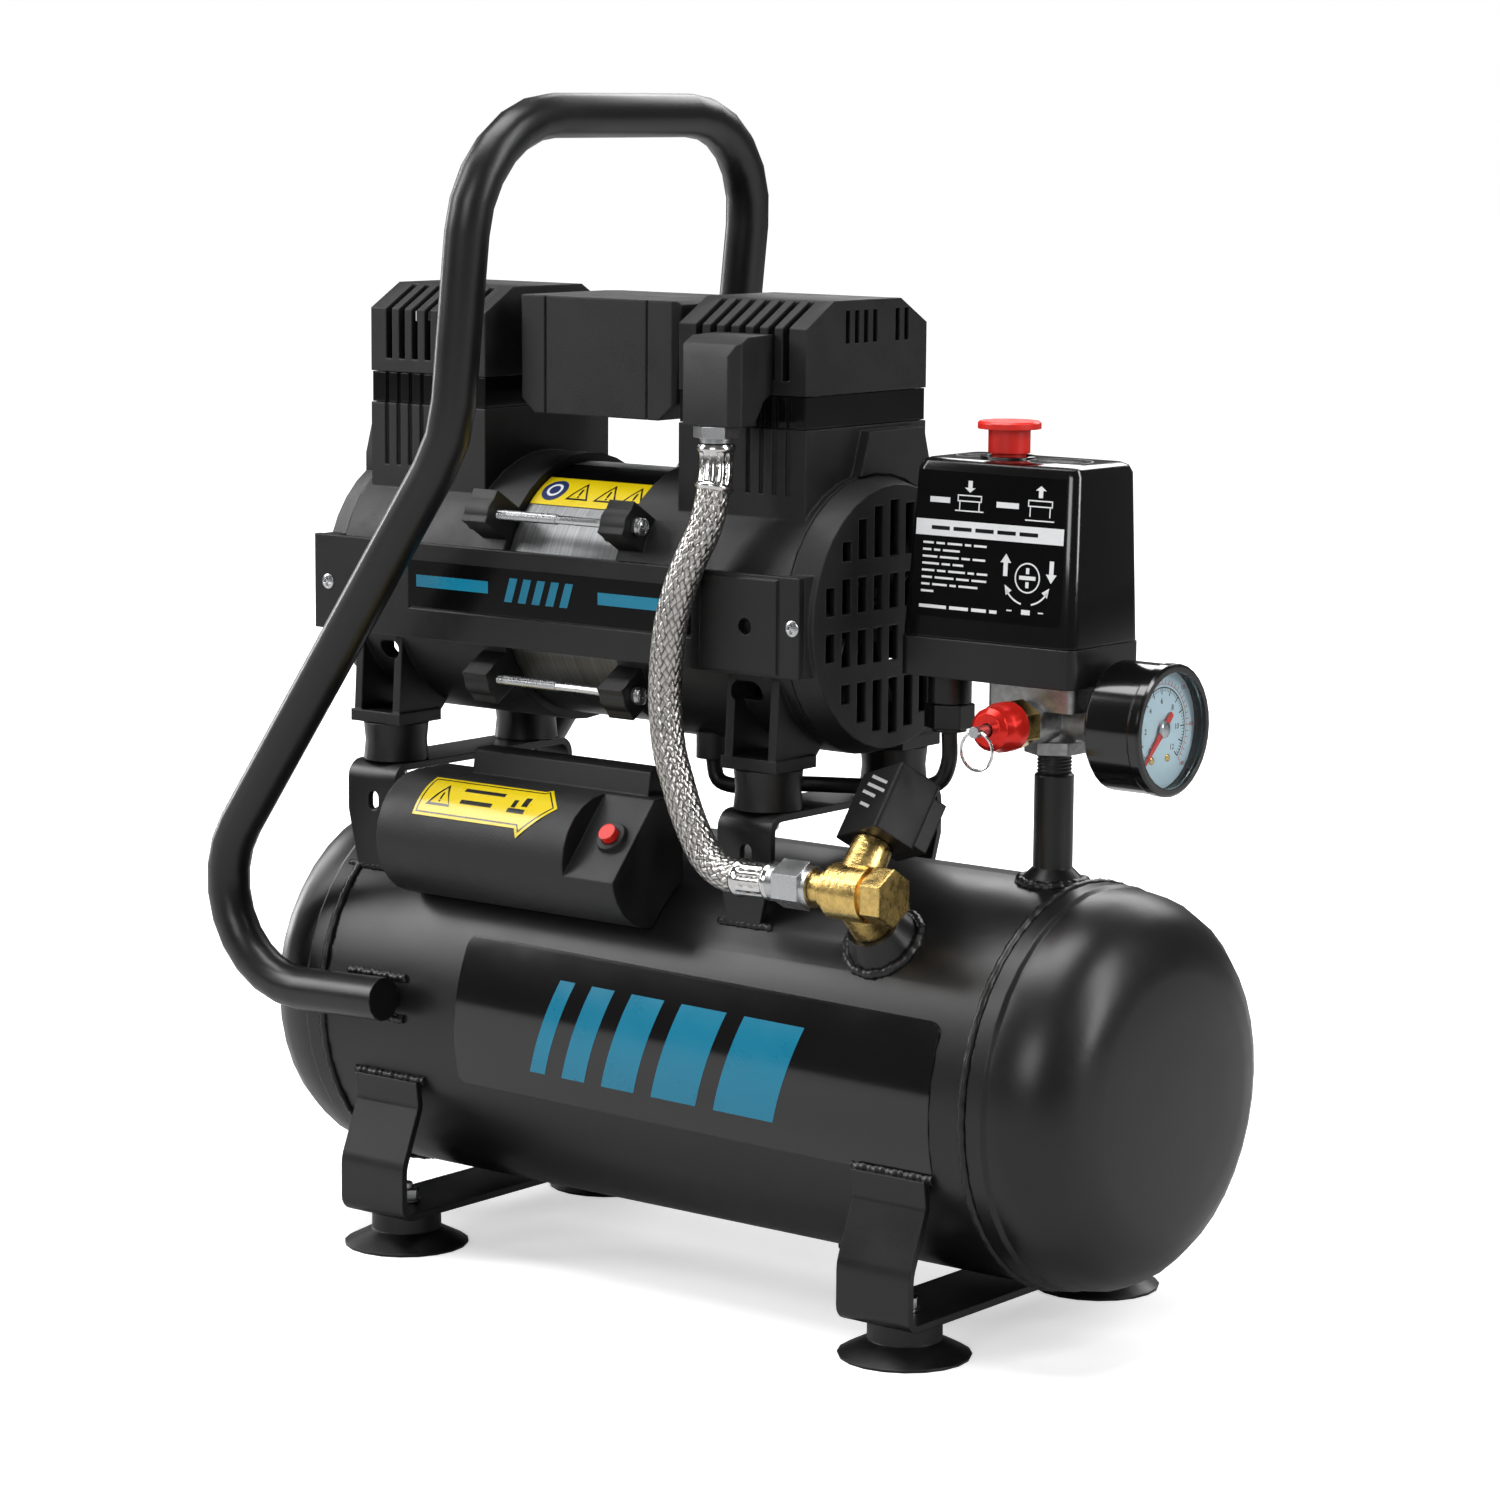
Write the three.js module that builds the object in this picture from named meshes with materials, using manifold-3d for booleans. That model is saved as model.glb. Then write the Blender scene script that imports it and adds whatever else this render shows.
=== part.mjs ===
// Portable twin-piston air compressor: a small horizontal receiver on suction feet, with an oil-free
// motor pump on rubber dampers, a pressure switch with gauge and safety valve, and a carrying hoop.
// Millimetres. X runs along the receiver towards the gauge, Y to the back, Z up from the floor.
import * as THREE from "three";
import { mergeVertices } from "three/addons/utils/BufferGeometryUtils.js";
import Module from "manifold-3d";

const wasm = await Module();
wasm.setup();

// ---------------------------------------------------------------- driving dimensions
const GAP = 0.3; // air between pieces that seat on each other

const TANK = { radius: 80, wall: 2.5, shellHalf: 167, seam: 0.6, sides: 40 };
const HEAD = { straight: 14, knuckle: 30, crown: 2 };
const FOOT = { x: 131.7, y: 66.3, radius: 26.5, neckRadius: 14.8, height: 14.7 };
const LEG = { width: 35, thick: 3, weldDrop: 27, pinchDrop: 38, proud: 0.9, flare: 10.1, flareZ: 38 };

// Where the receiver's axis lies: its belly clears the leg straps by one strap's thickness.
const axisZ = FOOT.height + GAP + 2 * LEG.thick + TANK.radius;
// The receiver's top, which the heights of the motor, the switch and the start box are counted from.
const ridgeZ = axisZ + TANK.radius;

const TUBE = { radius: 9.2, sides: 14, lowBend: 42.5, kneeBend: 60, topBend: 47 };
const CRADLE = { spacing: 202, width: 27, thick: 3, topZ: ridgeZ + 22, halfSpan: 57.5, footWidth: 16 };
const DAMPER = { radius: 14, height: 16, y: 42 };

const MOTOR = {
  x: -58, z: ridgeZ + 97.8, radius: 56.5, stator: 60, length: 262, cavity: 50, capDepth: 11.5,
};
const STATOR = { radius: 53, bore: 28 };
const CYLINDER = { width: 64.5, depth: 79.4, outer: 116.5, bore: 22.3, deckZ: ridgeZ + 173.7 };
const BAND = { height: 12.7 };
const COVER = { height: 36.8, shoulder: 26.5, ridge: 22, wall: 2.5, slot: 3.4, pitch: 7.3, slots: 7 };
const STRIP = { halfHeight: 20, thick: 3, face: 59.8, plateWidth: 38.6 };
const TIE = { y: 55.5, z: 34.2, radius: 1.8, lug: 13, lugRadius: 7.5, head: 3.7 };
const CRANK = { throw: 5, shaft: 6, pin: 12, width: 10, rotor: 27, gap: 0.5 };
const FAN = { radius: 43, hub: 11, width: 13, blades: 7 };
const GRILLE = { slot: 6, pitch: 10.4, columns: 9, taper: 3.6, face: 2.6 };

const DUCT = { half: 43, depth: 60, top: ridgeZ + 221, bottom: ridgeZ + 172.5, groove: 15.8 };
const ELBOW = {
  x: 28, width: 28, reach: 24, chamfer: 4, top: ridgeZ + 210.5, bottom: ridgeZ + 175,
};
const HOSE = { radius: 6.8, sides: 10, nut: 9.2, ferrule: 7.4 };

const RISER = {
  x: 152, radius: 7.8, thread: 6.2, shoulderZ: ridgeZ + 42, topZ: ridgeZ + 50.5, bore: 4,
};
const PORT = { z: ridgeZ + 64.5, body: 9, gauge: 8, valve: 8.6, valveEnd: 22, plug: 6.5 };
const SWITCH = {
  x: 135, y: -1, length: 82, depth: 49, wall: 2.2,
  bottom: ridgeZ + 79.3, split: ridgeZ + 95, top: ridgeZ + 164.5,
  lean: { x: 5.5, y: 7, dx: 0.8, dy: 1.2 },
};
const KNOB = { x: SWITCH.x - 7, stem: 8.3, flange: 12.5, top: ridgeZ + 179 };
const GLAND = { x: 107, y: -8, radius: 8.7, nut: 10, bore: 3.7, drop: 23.5 };
const GAUGE = { clear: 5, depth: 26, radius: 25.3, rim: 25.8, wall: 1.6 };
GAUGE.back = SWITCH.x + SWITCH.length / 2 + GAUGE.clear;
GAUGE.front = GAUGE.back + GAUGE.depth;
const SAFETY = { hex: 9.6, cap: 9.7, nose: 8.4, capBack: 31.5, capFront: 46.3, stem: 2.3, ring: 7.4 };
const VALVE = { x: 110.3, angle: 43, rise: 30, lean: 38, body: 11, stem: 9, bung: 11, weld: 16 };
const COIL = { a: 31.6, b: 19.1, m: 28.6, turn: -28, tube: 4, reach: 36.5 };
const BOX = { left: -128, right: 0, y: -62, z: ridgeZ - 3, radius: 26, back: -43, wall: 2, facet: 26 };
const BLOCK = { left: -103, right: -8, front: -57, top: ridgeZ + 33.5 };
const BUTTON = { x: -10.5, radius: 3.8, collar: 7.8, lift: 2.6 };
const CABLE = { radius: 3.2, sides: 8 };
const DRAIN = { x: 60, socket: 9, bore: 4.2 };

// ---------------------------------------------------------------- finishes
const FINISH = {
  powder: [0x17181a, 0.42, 0.25],
  plastic: [0x1b1c1e, 0.55, 0.0],
  gloss: [0x0d0e10, 0.12, 0.0],
  rubber: [0x121212, 0.75, 0.0],
  steel: [0xa9adb0, 0.35, 0.9],
  zinc: [0xb4bcc2, 0.3, 0.95],
  brass: [0xb9902f, 0.3, 0.95],
  braid: [0xb5b1aa, 0.32, 0.9],
  casting: [0x85827b, 0.45, 0.85],
  red: [0xd8251f, 0.35, 0.0],
  dial: [0xa9cfe3, 0.6, 0.0],
  glass: [0xf2f8fb, 0.03, 0.0],
};

// ---------------------------------------------------------------- shape helpers
function signedVolume(positions, index) {
  const at = (i) => new THREE.Vector3().fromArray(positions, 3 * i);
  let sum = 0;
  for (let i = 0; i < index.length; i += 3) {
    sum += at(index[i]).dot(at(index[i + 1]).cross(at(index[i + 2])));
  }
  return sum / 6;
}

// A closed three.js geometry as a solid, its faces turned outwards.
function solid(geometry) {
  const bare = geometry.clone();
  bare.deleteAttribute("normal");
  bare.deleteAttribute("uv");
  const merged = mergeVertices(bare, 1e-4);
  const corners = [];
  const source = merged.index.array;
  for (let i = 0; i < source.length; i += 3) {
    const [a, b, c] = source.subarray(i, i + 3);
    if (a !== b && b !== c && a !== c) corners.push(a, b, c);
  }
  const vertProperties = merged.attributes.position.array;
  if (signedVolume(vertProperties, corners) < 0) corners.reverse();
  return new wasm.Manifold(new wasm.Mesh({ numProp: 3, vertProperties, triVerts: new Uint32Array(corners) }));
}

function join(...solids) {
  return solids.reduce((a, b) => a.add(b));
}

function cut(body, ...tools) {
  return tools.reduce((a, b) => a.subtract(b), body);
}

function box(x0, x1, y0, y1, z0, z1) {
  const g = new THREE.BoxGeometry(x1 - x0, y1 - y0, z1 - z0);
  return solid(g.translate((x0 + x1) / 2, (y0 + y1) / 2, (z0 + z1) / 2));
}

// Turns a geometry whose long axis is Y onto the axis asked for.
function onAxis(g, axis) {
  if (axis === "x") return g.rotateZ(-Math.PI / 2);
  if (axis === "z") return g.rotateX(Math.PI / 2);
  return g;
}

// A round bar or cone along an axis from one coordinate to another, centred on the point c.
function bar(axis, radius, from, to, c = [0, 0, 0], sides = 20, endRadius = radius) {
  const g = new THREE.CylinderGeometry(endRadius, radius, to - from, sides);
  onAxis(g, axis);
  const place = { x: 0, y: 0, z: 0, [axis]: (from + to) / 2 };
  return solid(g.translate(c[0] + place.x, c[1] + place.y, c[2] + place.z));
}

// A round bar between two points.
function barBetween(radius, from, to, sides = 20, endRadius = radius) {
  const axis = to.clone().sub(from);
  const g = new THREE.CylinderGeometry(endRadius, radius, axis.length(), sides);
  g.applyQuaternion(new THREE.Quaternion().setFromUnitVectors(new THREE.Vector3(0, 1, 0), axis.normalize()));
  const middle = from.clone().add(to).multiplyScalar(0.5);
  return solid(g.translate(middle.x, middle.y, middle.z));
}

function shapeOf(points) {
  return new THREE.Shape(points.map(([u, v]) => new THREE.Vector2(u, v)));
}

function roundedShape(width, height, radius, u = 0, v = 0) {
  const s = new THREE.Shape();
  const [w, h] = [width / 2 - radius, height / 2 - radius];
  s.absarc(u + w, v + h, radius, 0, Math.PI / 2);
  s.absarc(u - w, v + h, radius, Math.PI / 2, Math.PI);
  s.absarc(u - w, v - h, radius, Math.PI, 1.5 * Math.PI);
  s.absarc(u + w, v - h, radius, 1.5 * Math.PI, 2 * Math.PI);
  return s;
}

// Extrusions of an outline drawn in the plane across the named axis.
function prism(axis, shape, from, to, curveSegments = 4) {
  const g = new THREE.ExtrudeGeometry(shape, { depth: to - from, bevelEnabled: false, curveSegments });
  const [ex, ey, ez] = [[1, 0, 0], [0, 1, 0], [0, 0, 1]].map((v) => new THREE.Vector3(...v));
  const m = new THREE.Matrix4();
  if (axis === "x") g.applyMatrix4(m.makeBasis(ey, ez, ex)).translate(from, 0, 0);
  if (axis === "y") g.applyMatrix4(m.makeBasis(ex, ez, ey.negate())).translate(0, to, 0);
  if (axis === "z") g.translate(0, 0, from);
  return solid(g);
}

// A body turned about an axis; the profile holds [radius, height] pairs and starts and ends on the axis
// or closes on itself.
function turned(axis, profile, c = [0, 0, 0], sides = 24) {
  const g = new THREE.LatheGeometry(profile.map(([r, h]) => new THREE.Vector2(r, h)), sides);
  return solid(onAxis(g, axis).translate(...c));
}

// A standing body of one outline whose size and centre change with height, in layers of
// [z, x scale, y scale, x shift, y shift].
function lofted(shape, layers, curveSegments = 3) {
  const steps = layers.length - 1;
  const g = new THREE.ExtrudeGeometry(shape, { depth: steps, steps, bevelEnabled: false, curveSegments });
  const p = g.attributes.position;
  for (let i = 0; i < p.count; i += 1) {
    const [z, sx, sy, dx, dy] = layers[Math.round(p.getZ(i))];
    p.setXYZ(i, p.getX(i) * sx + dx, p.getY(i) * sy + dy, z);
  }
  return solid(g);
}

// A line with its corners rounded: every corner's arc is stepped by angle, straights stay one step.
function rounded(points, radii, step = THREE.MathUtils.degToRad(15)) {
  const out = [points[0]];
  for (let i = 1; i < points.length - 1; i += 1) {
    const before = points[i - 1].clone().sub(points[i]).normalize();
    const after = points[i + 1].clone().sub(points[i]).normalize();
    const opening = before.angleTo(after);
    const turn = Math.PI - opening;
    const centre = before.clone().add(after).normalize();
    centre.multiplyScalar(radii[i - 1] / Math.sin(opening / 2)).add(points[i]);
    const start = points[i].clone().addScaledVector(before, radii[i - 1] / Math.tan(opening / 2));
    const spoke = start.clone().sub(centre);
    const axis = before.clone().cross(after).normalize().negate();
    const count = Math.max(2, Math.ceil(turn / step));
    for (let k = 0; k <= count; k += 1) {
      out.push(centre.clone().add(spoke.clone().applyAxisAngle(axis, (turn * k) / count)));
    }
  }
  out.push(points[points.length - 1]);
  return out;
}

// A curve through fixed stations, so that a tube along it has one ring at each station.
class Stations extends THREE.Curve {
  constructor(points) {
    super();
    this.points = points;
  }

  getPoint(t, target = new THREE.Vector3()) {
    const last = this.points.length - 1;
    const i = Math.min(Math.floor(t * last + 1e-9), last - 1);
    return target.lerpVectors(this.points[i], this.points[i + 1], t * last - i);
  }

  getPointAt(u, target) {
    return this.getPoint(u, target);
  }

  getTangentAt(u, target = new THREE.Vector3()) {
    const last = this.points.length - 1;
    const i = Math.round(u * last);
    const [a, b, c] = [this.points[Math.max(i - 1, 0)], this.points[i], this.points[Math.min(i + 1, last)]];
    const back = b.clone().sub(a).normalize();
    const ahead = c.clone().sub(b).normalize();
    return target.copy(back).add(ahead).normalize();
  }
}

function tube(points, radius, sides) {
  const ring = Array.from({ length: sides }, (_, k) => {
    const angle = (2 * Math.PI * k) / sides;
    return [radius * Math.cos(angle), radius * Math.sin(angle)];
  });
  const extrudePath = new Stations(points);
  return solid(new THREE.ExtrudeGeometry(shapeOf(ring), { steps: points.length - 1, extrudePath }));
}

// The outline of a strap bent along a line in the Y-Z plane.
function strapShape(line, thickness) {
  const side = (sign) => line.map((p, i) => {
    const a = line[Math.max(i - 1, 0)];
    const b = line[Math.min(i + 1, line.length - 1)];
    const along = b.clone().sub(a).normalize();
    return [p.y - (sign * along.z * thickness) / 2, p.z + (sign * along.y * thickness) / 2];
  });
  return shapeOf([...side(1), ...side(-1).reverse()]);
}

// ---------------------------------------------------------------- the group
const compressor = new THREE.Group();

function part(name, body, finish, parent = compressor) {
  const m = body.getMesh();
  const g = new THREE.BufferGeometry();
  g.setAttribute("position", new THREE.BufferAttribute(new Float32Array(m.vertProperties), 3));
  g.setIndex(new THREE.BufferAttribute(new Uint32Array(m.triVerts), 1));
  g.computeVertexNormals();
  const [color, roughness, metalness] = FINISH[finish];
  const mesh = new THREE.Mesh(g, new THREE.MeshStandardMaterial({ color, roughness, metalness }));
  mesh.name = name;
  parent.add(mesh);
  return mesh;
}

function eachSide(build) {
  build("left", -1);
  build("right", 1);
}

const vec = (x, y, z) => new THREE.Vector3(x, y, z);
const radians = THREE.MathUtils.degToRad;

// ---------------------------------------------------------------- receiver
// Directions of the check valve's bung and of its solenoid stem, in the Y-Z plane.
const bungDirection = vec(0, -Math.sin(radians(VALVE.angle)), Math.cos(radians(VALVE.angle)));
const coilDirection = vec(0, Math.sin(radians(VALVE.lean)), Math.cos(radians(VALVE.lean)));
const onBung = (distance) => vec(VALVE.x, 0, axisZ).addScaledVector(bungDirection, distance);
const valveCentre = onBung(TANK.radius + VALVE.rise);
const bungTop = TANK.radius + 10;

function tankShell() {
  const inner = TANK.radius - TANK.wall;
  const drainBottom = axisZ - TANK.radius - 4;
  const outside = join(
    bar("x", TANK.radius, -TANK.shellHalf, TANK.shellHalf, [0, 0, axisZ], TANK.sides),
    barBetween(VALVE.weld, onBung(inner - 1), onBung(bungTop), 20, VALVE.bung),
    bar("z", DRAIN.socket, drainBottom, axisZ - inner, [DRAIN.x, 0, 0]),
  );
  const shell = cut(
    outside,
    bar("x", inner, -TANK.shellHalf - 1, TANK.shellHalf + 1, [0, 0, axisZ], TANK.sides),
    barBetween(5, onBung(inner - 5), onBung(bungTop + 1), 10),
    bar("z", DRAIN.bore, drainBottom - 1, axisZ - inner + 5, [DRAIN.x, 0, 0], 12),
    bar("z", RISER.bore, axisZ + inner - 5, axisZ + TANK.radius + 1, [RISER.x, 0, 0], 10),
  );
  part("tank_shell", shell, "powder");
}

// A dished head with a rolled weld seam where it meets the shell.
function tankHead(name, side) {
  const skin = TANK.radius - TANK.seam;
  const inner = TANK.radius - TANK.wall;
  const start = TANK.shellHalf + GAP;
  const tangent = TANK.shellHalf + HEAD.straight;
  const knuckle = (inset, steps) => Array.from({ length: steps + 1 }, (_, k) => {
    const angle = (k / steps) * (Math.PI / 2);
    const r = HEAD.knuckle - inset;
    return [skin - HEAD.knuckle + r * Math.sin(angle), tangent + r * Math.cos(angle)];
  });
  const proud = TANK.radius + TANK.seam;
  const middle = tangent + HEAD.knuckle + HEAD.crown;
  const profile = [
    [0, middle],
    [0.4 * TANK.radius, middle - 0.35 * HEAD.crown],
    ...knuckle(0, 5),
    [skin, start + 10.4],
    [proud, start + 8.6],
    [proud, start + 1.8],
    [skin, start],
    [inner, start],
    ...knuckle(TANK.wall, 2).reverse(),
    [0, middle - TANK.wall],
  ];
  const head = part(name, turned("x", profile, [0, 0, axisZ], TANK.sides), "powder");
  if (side < 0) head.rotation.z = Math.PI;
}

// One strap bent under the belly, its ends lying against the shell.
function legStrap(name, side) {
  const low = FOOT.height + GAP + LEG.thick / 2;
  const pinch = Math.sqrt(TANK.radius ** 2 - LEG.weldDrop ** 2) + LEG.proud;
  const spread = pinch + LEG.flare;
  const half = [vec(0, -pinch - 1.5, axisZ - LEG.weldDrop), vec(0, -pinch, axisZ - LEG.pinchDrop)];
  half.push(vec(0, -spread, LEG.flareZ), vec(0, -spread, low));
  const mirrored = half.map((p) => vec(0, -p.y, p.z)).reverse();
  const line = rounded([...half, ...mirrored], [6, 14, 5, 5, 14, 6], radians(22));
  const x = side * FOOT.x;
  const strap = prism("x", strapShape(line, LEG.thick), x - LEG.width / 2, x + LEG.width / 2);
  const clearance = bar("x", TANK.radius + GAP, x - LEG.width, x + LEG.width, [0, 0, axisZ], TANK.sides);
  part(name, cut(strap, clearance), "powder");
}

function suctionFoot(name, x, y) {
  const profile = [
    [0, 2.5], [18, 2.5], [19.5, 0], [FOOT.radius - 0.4, 0], [FOOT.radius, 1],
    [FOOT.neckRadius, 7], [FOOT.neckRadius, FOOT.height], [0, FOOT.height],
  ];
  part(name, turned("z", profile, [x, y, 0], 20), "rubber");
}

// ---------------------------------------------------------------- carrying hoop
function carryHandle() {
  const plane = TANK.radius + TANK.seam + TUBE.radius + GAP;
  const half = [vec(-122, -plane, axisZ + 9.5), vec(-254.8, -plane, axisZ + 4.5)];
  half.push(vec(-83.5, -plane, ridgeZ + 164.8), vec(-69.6, -plane, ridgeZ + 294.6));
  const mirrored = half.map((p) => vec(p.x, -p.y, p.z)).reverse();
  const bends = [TUBE.lowBend, TUBE.kneeBend, TUBE.topBend];
  const line = rounded([...half, ...mirrored], [...bends, ...[...bends].reverse()]);
  part("carry_handle", tube(line, TUBE.radius, TUBE.sides), "powder");
}

// ---------------------------------------------------------------- motor cradle
function motorCradle(name, side) {
  const x = MOTOR.x + (side * CRADLE.spacing) / 2;
  const mid = CRADLE.topZ - CRADLE.thick / 2;
  const y = CRADLE.halfSpan - CRADLE.thick / 2;
  const line = rounded(
    [vec(0, -y, axisZ), vec(0, -y, mid), vec(0, y, mid), vec(0, y, axisZ)],
    [6, 6],
    radians(22),
  );
  const [wide, narrow] = [CRADLE.width / 2, CRADLE.footWidth / 2];
  const waist = CRADLE.topZ - 21;
  const outline = shapeOf([
    [x - narrow, axisZ], [x + narrow, axisZ], [x + narrow, waist - 24], [x + wide, waist],
    [x + wide, mid + 5],
    [x - wide, mid + 5], [x - wide, waist], [x - narrow, waist - 24],
  ]);
  const strap = prism("x", strapShape(line, CRADLE.thick), x - wide, x + wide);
  const windows = prism("y", roundedShape(5.8, 8.5, 2.8, x + 1, CRADLE.topZ - 16.5), -80, 80);
  const shaped = strap.intersect(prism("y", outline, -80, 80));
  const clearance = bar("x", TANK.radius + GAP, x - wide - 1, x + wide + 1, [0, 0, axisZ], TANK.sides);
  const seamRadius = TANK.radius + TANK.seam + GAP;
  const overSeam = bar("x", seamRadius, x - wide - 1, 1 - TANK.shellHalf, [0, 0, axisZ], TANK.sides);
  part(name, cut(shaped, windows, clearance, ...(side < 0 ? [overSeam] : [])), "powder");
}

function rubberDamper(name, x, y) {
  const base = CRADLE.topZ + GAP;
  const top = base + DAMPER.height;
  const r = DAMPER.radius;
  const profile = [[0, base], [r, base], [r - 0.8, (base + top) / 2], [r, top], [0, top]];
  part(name, turned("z", profile, [x, y, 0], 20), "rubber");
}

// ---------------------------------------------------------------- motor pump
const statorEnd = MOTOR.stator / 2;
const towerX = CYLINDER.outer - CYLINDER.width / 2;
const bodyEnd = MOTOR.length / 2 - MOTOR.capDepth;

// Everything on one side of the pump is drawn with x counted outwards from the motor's middle.
function outward(side, body, name, finish) {
  const mesh = part(name, body, finish);
  mesh.position.set(MOTOR.x, 0, 0);
  if (side < 0) mesh.rotation.z = Math.PI;
}

function motorAxis(radius, from, to, sides = 24) {
  return bar("x", radius, from, to, [0, 0, MOTOR.z], sides);
}

function fourTies(build) {
  for (const sy of [-1, 1]) {
    for (const sz of [-1, 1]) build(sy * TIE.y, MOTOR.z + sz * TIE.z, sy, sz);
  }
}

function statorCore() {
  const core = cut(
    motorAxis(STATOR.radius, -statorEnd + GAP, statorEnd - GAP, 36),
    motorAxis(STATOR.bore, -statorEnd - 1, statorEnd + 1, 20),
  );
  const mesh = part("stator_core", core, "steel");
  mesh.position.x = MOTOR.x;
}

// Crankcase with its cylinder tower, mounting pads, tie lugs and cooling windows.
function crankcase(name, side) {
  const start = statorEnd + 0.1;
  const hw = CYLINDER.width / 2;
  const hd = CYLINDER.depth / 2;
  const top = CYLINDER.deckZ - GAP;
  const padX = CRADLE.spacing / 2;
  const padZ = CRADLE.topZ + 2 * GAP + DAMPER.height;
  let body = join(
    motorAxis(MOTOR.radius, start, bodyEnd, 36),
    box(towerX - hw, towerX + hw, -hd, hd, MOTOR.z, top),
  );
  for (const sy of [-1, 1]) {
    const y = sy * DAMPER.y;
    const pad = box(padX - 14, padX + 14, y - 13, y + 13, padZ, padZ + 5);
    const gusset = shapeOf([
      [sy * 54, padZ + 4], [sy * 52, MOTOR.z - 22], [sy * 20, padZ + 12], [sy * 30, padZ + 2],
    ]);
    body = join(body, pad, prism("x", gusset, padX - 13, padX - 9), prism("x", gusset, padX + 9, padX + 13));
  }
  fourTies((y, z, sy, sz) => {
    const from = vec(start + TIE.lug / 2, sy * 40, MOTOR.z + sz * 26);
    const web = new THREE.BoxGeometry(TIE.lug, 2 * TIE.lugRadius, 30);
    web.rotateX(sy * sz > 0 ? -Math.atan2(TIE.y, TIE.z) : Math.atan2(TIE.y, TIE.z));
    const middle = from.clone().add(vec(from.x, y, z)).multiplyScalar(0.5);
    body = join(
      body,
      solid(web.translate(from.x, middle.y, middle.z)),
      bar("x", TIE.lugRadius, start, start + TIE.lug, [0, y, z], 12),
    );
  });
  body = cut(
    body,
    motorAxis(MOTOR.cavity, start + 8, bodyEnd + 1, 24),
    motorAxis(CRANK.shaft + 2, start - 1, start + 9, 12),
    bar("z", CYLINDER.bore, MOTOR.z, top + 1, [towerX, 0, 0], 24),
  );
  fourTies((y, z) => {
    body = cut(body, bar("x", TIE.radius + GAP, start - 1, start + TIE.lug + 1, [0, y, z], 8));
  });
  for (const sy of [-1, 1]) {
    const oval = roundedShape(13, 8, 3.5, towerX + 12, MOTOR.z - 28);
    const window = prism("y", oval, sy > 0 ? 30 : -70, sy > 0 ? 70 : -30, 2);
    body = cut(body, window);
  }
  // Upright flutes on the tower's long faces.
  for (let k = 0; k < 4; k += 1) {
    const x = towerX + hw - 9 - 6.6 * k;
    for (const y of [-hd, hd]) body = cut(body, box(x - 1.2, x + 1.2, y - 1, y + 1, top - 26, top + 1));
  }
  // A raised duct on the tower's outer face.
  const duct = shapeOf([
    [-4, top - 2], [32, top - 2], [38, top - 22], [38, MOTOR.z + 46], [-12, MOTOR.z + 50],
  ]);
  const rib = prism("x", duct, towerX + hw - 1, towerX + hw + 5);
  body = join(body, cut(rib, motorAxis(MOTOR.radius + GAP, bodyEnd, bodyEnd + 20, 36)));
  if (side > 0) {
    body = join(body, bar("z", 7.2, MOTOR.z - 63, MOTOR.z - 52, [52, -16, 0], 16));
    body = cut(body, bar("z", CABLE.radius + GAP, MOTOR.z - 64, MOTOR.z - 40, [52, -16, 0], 10));
  }
  outward(side, body, name, "plastic");
}

// Vented end cap over the cooling fan.
function endGrille(name, side) {
  const start = bodyEnd + GAP;
  const end = MOTOR.length / 2;
  const cheek = STRIP.face - STRIP.thick - 2 * GAP;
  let cap = join(
    bar("x", MOTOR.radius - 0.3, start, end, [0, 0, MOTOR.z], 36, MOTOR.radius - GRILLE.taper),
    box(start, end - 2, -cheek, cheek, MOTOR.z - STRIP.halfHeight, MOTOR.z + STRIP.halfHeight),
  );
  cap = cut(cap, motorAxis(MOTOR.cavity, start - 1, end - GRILLE.face, 24));
  const rows = [[3.5, 17.5], [24.5, 49]];
  for (const [low, high] of rows) {
    for (const up of [-1, 1]) {
      for (let k = 0; k < GRILLE.columns; k += 1) {
        const y = (k - (GRILLE.columns - 1) / 2) * GRILLE.pitch;
        const reach = Math.sqrt(Math.max(0, (MOTOR.cavity - 3) ** 2 - (Math.abs(y) + GRILLE.slot / 2) ** 2));
        const far = Math.min(high, reach);
        if (far - low < 3) continue;
        const [z0, z1] = up > 0 ? [low, far] : [-far, -low];
        const half = GRILLE.slot / 2;
        cap = cut(cap, box(end - 6, end + 1, y - half, y + half, MOTOR.z + z0, MOTOR.z + z1));
      }
    }
  }
  outward(side, cap, name, "plastic");
}

// Long label strip along the side of the pump, with an inset plate near its gauge end.
function sidePanel(name, side) {
  const half = MOTOR.length / 2;
  const [inner, face] = [STRIP.face - STRIP.thick, STRIP.face];
  const x1 = half - 12.3;
  const x0 = x1 - STRIP.plateWidth;
  let panel = box(-half, half - 1.5, -face, -inner, MOTOR.z - STRIP.halfHeight, MOTOR.z + STRIP.halfHeight);
  panel = cut(panel, box(-77, x0 - 5, -face - 1, -face + 0.6, MOTOR.z - 7.6, MOTOR.z + 12.4));
  panel = join(panel, box(x0, x1, -face - 0.8, -face + 1, MOTOR.z - STRIP.halfHeight + 1, MOTOR.z + 18.4));
  panel = cut(panel, bar("y", 3.3, -face - 2, -inner + 1, [x1 - 15.7, 0, MOTOR.z - 0.8], 16));
  const mesh = part(name, panel, "plastic");
  mesh.position.x = MOTOR.x;
  if (side > 0) mesh.rotation.z = Math.PI;
}

function tieRod(name, y, z) {
  const end = statorEnd + 0.1 + TIE.lug;
  const rod = join(
    bar("x", TIE.radius, -end + 2, end + GAP + 0.5, [0, y, z], 8),
    turned("x", [
      [0, end + GAP], [TIE.head, end + GAP], [TIE.head, end + 2], [2.4, end + 3.4], [0, end + 3.4],
    ],
      [0, y, z], 12),
  );
  part(name, rod, "zinc").position.x = MOTOR.x;
}

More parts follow.
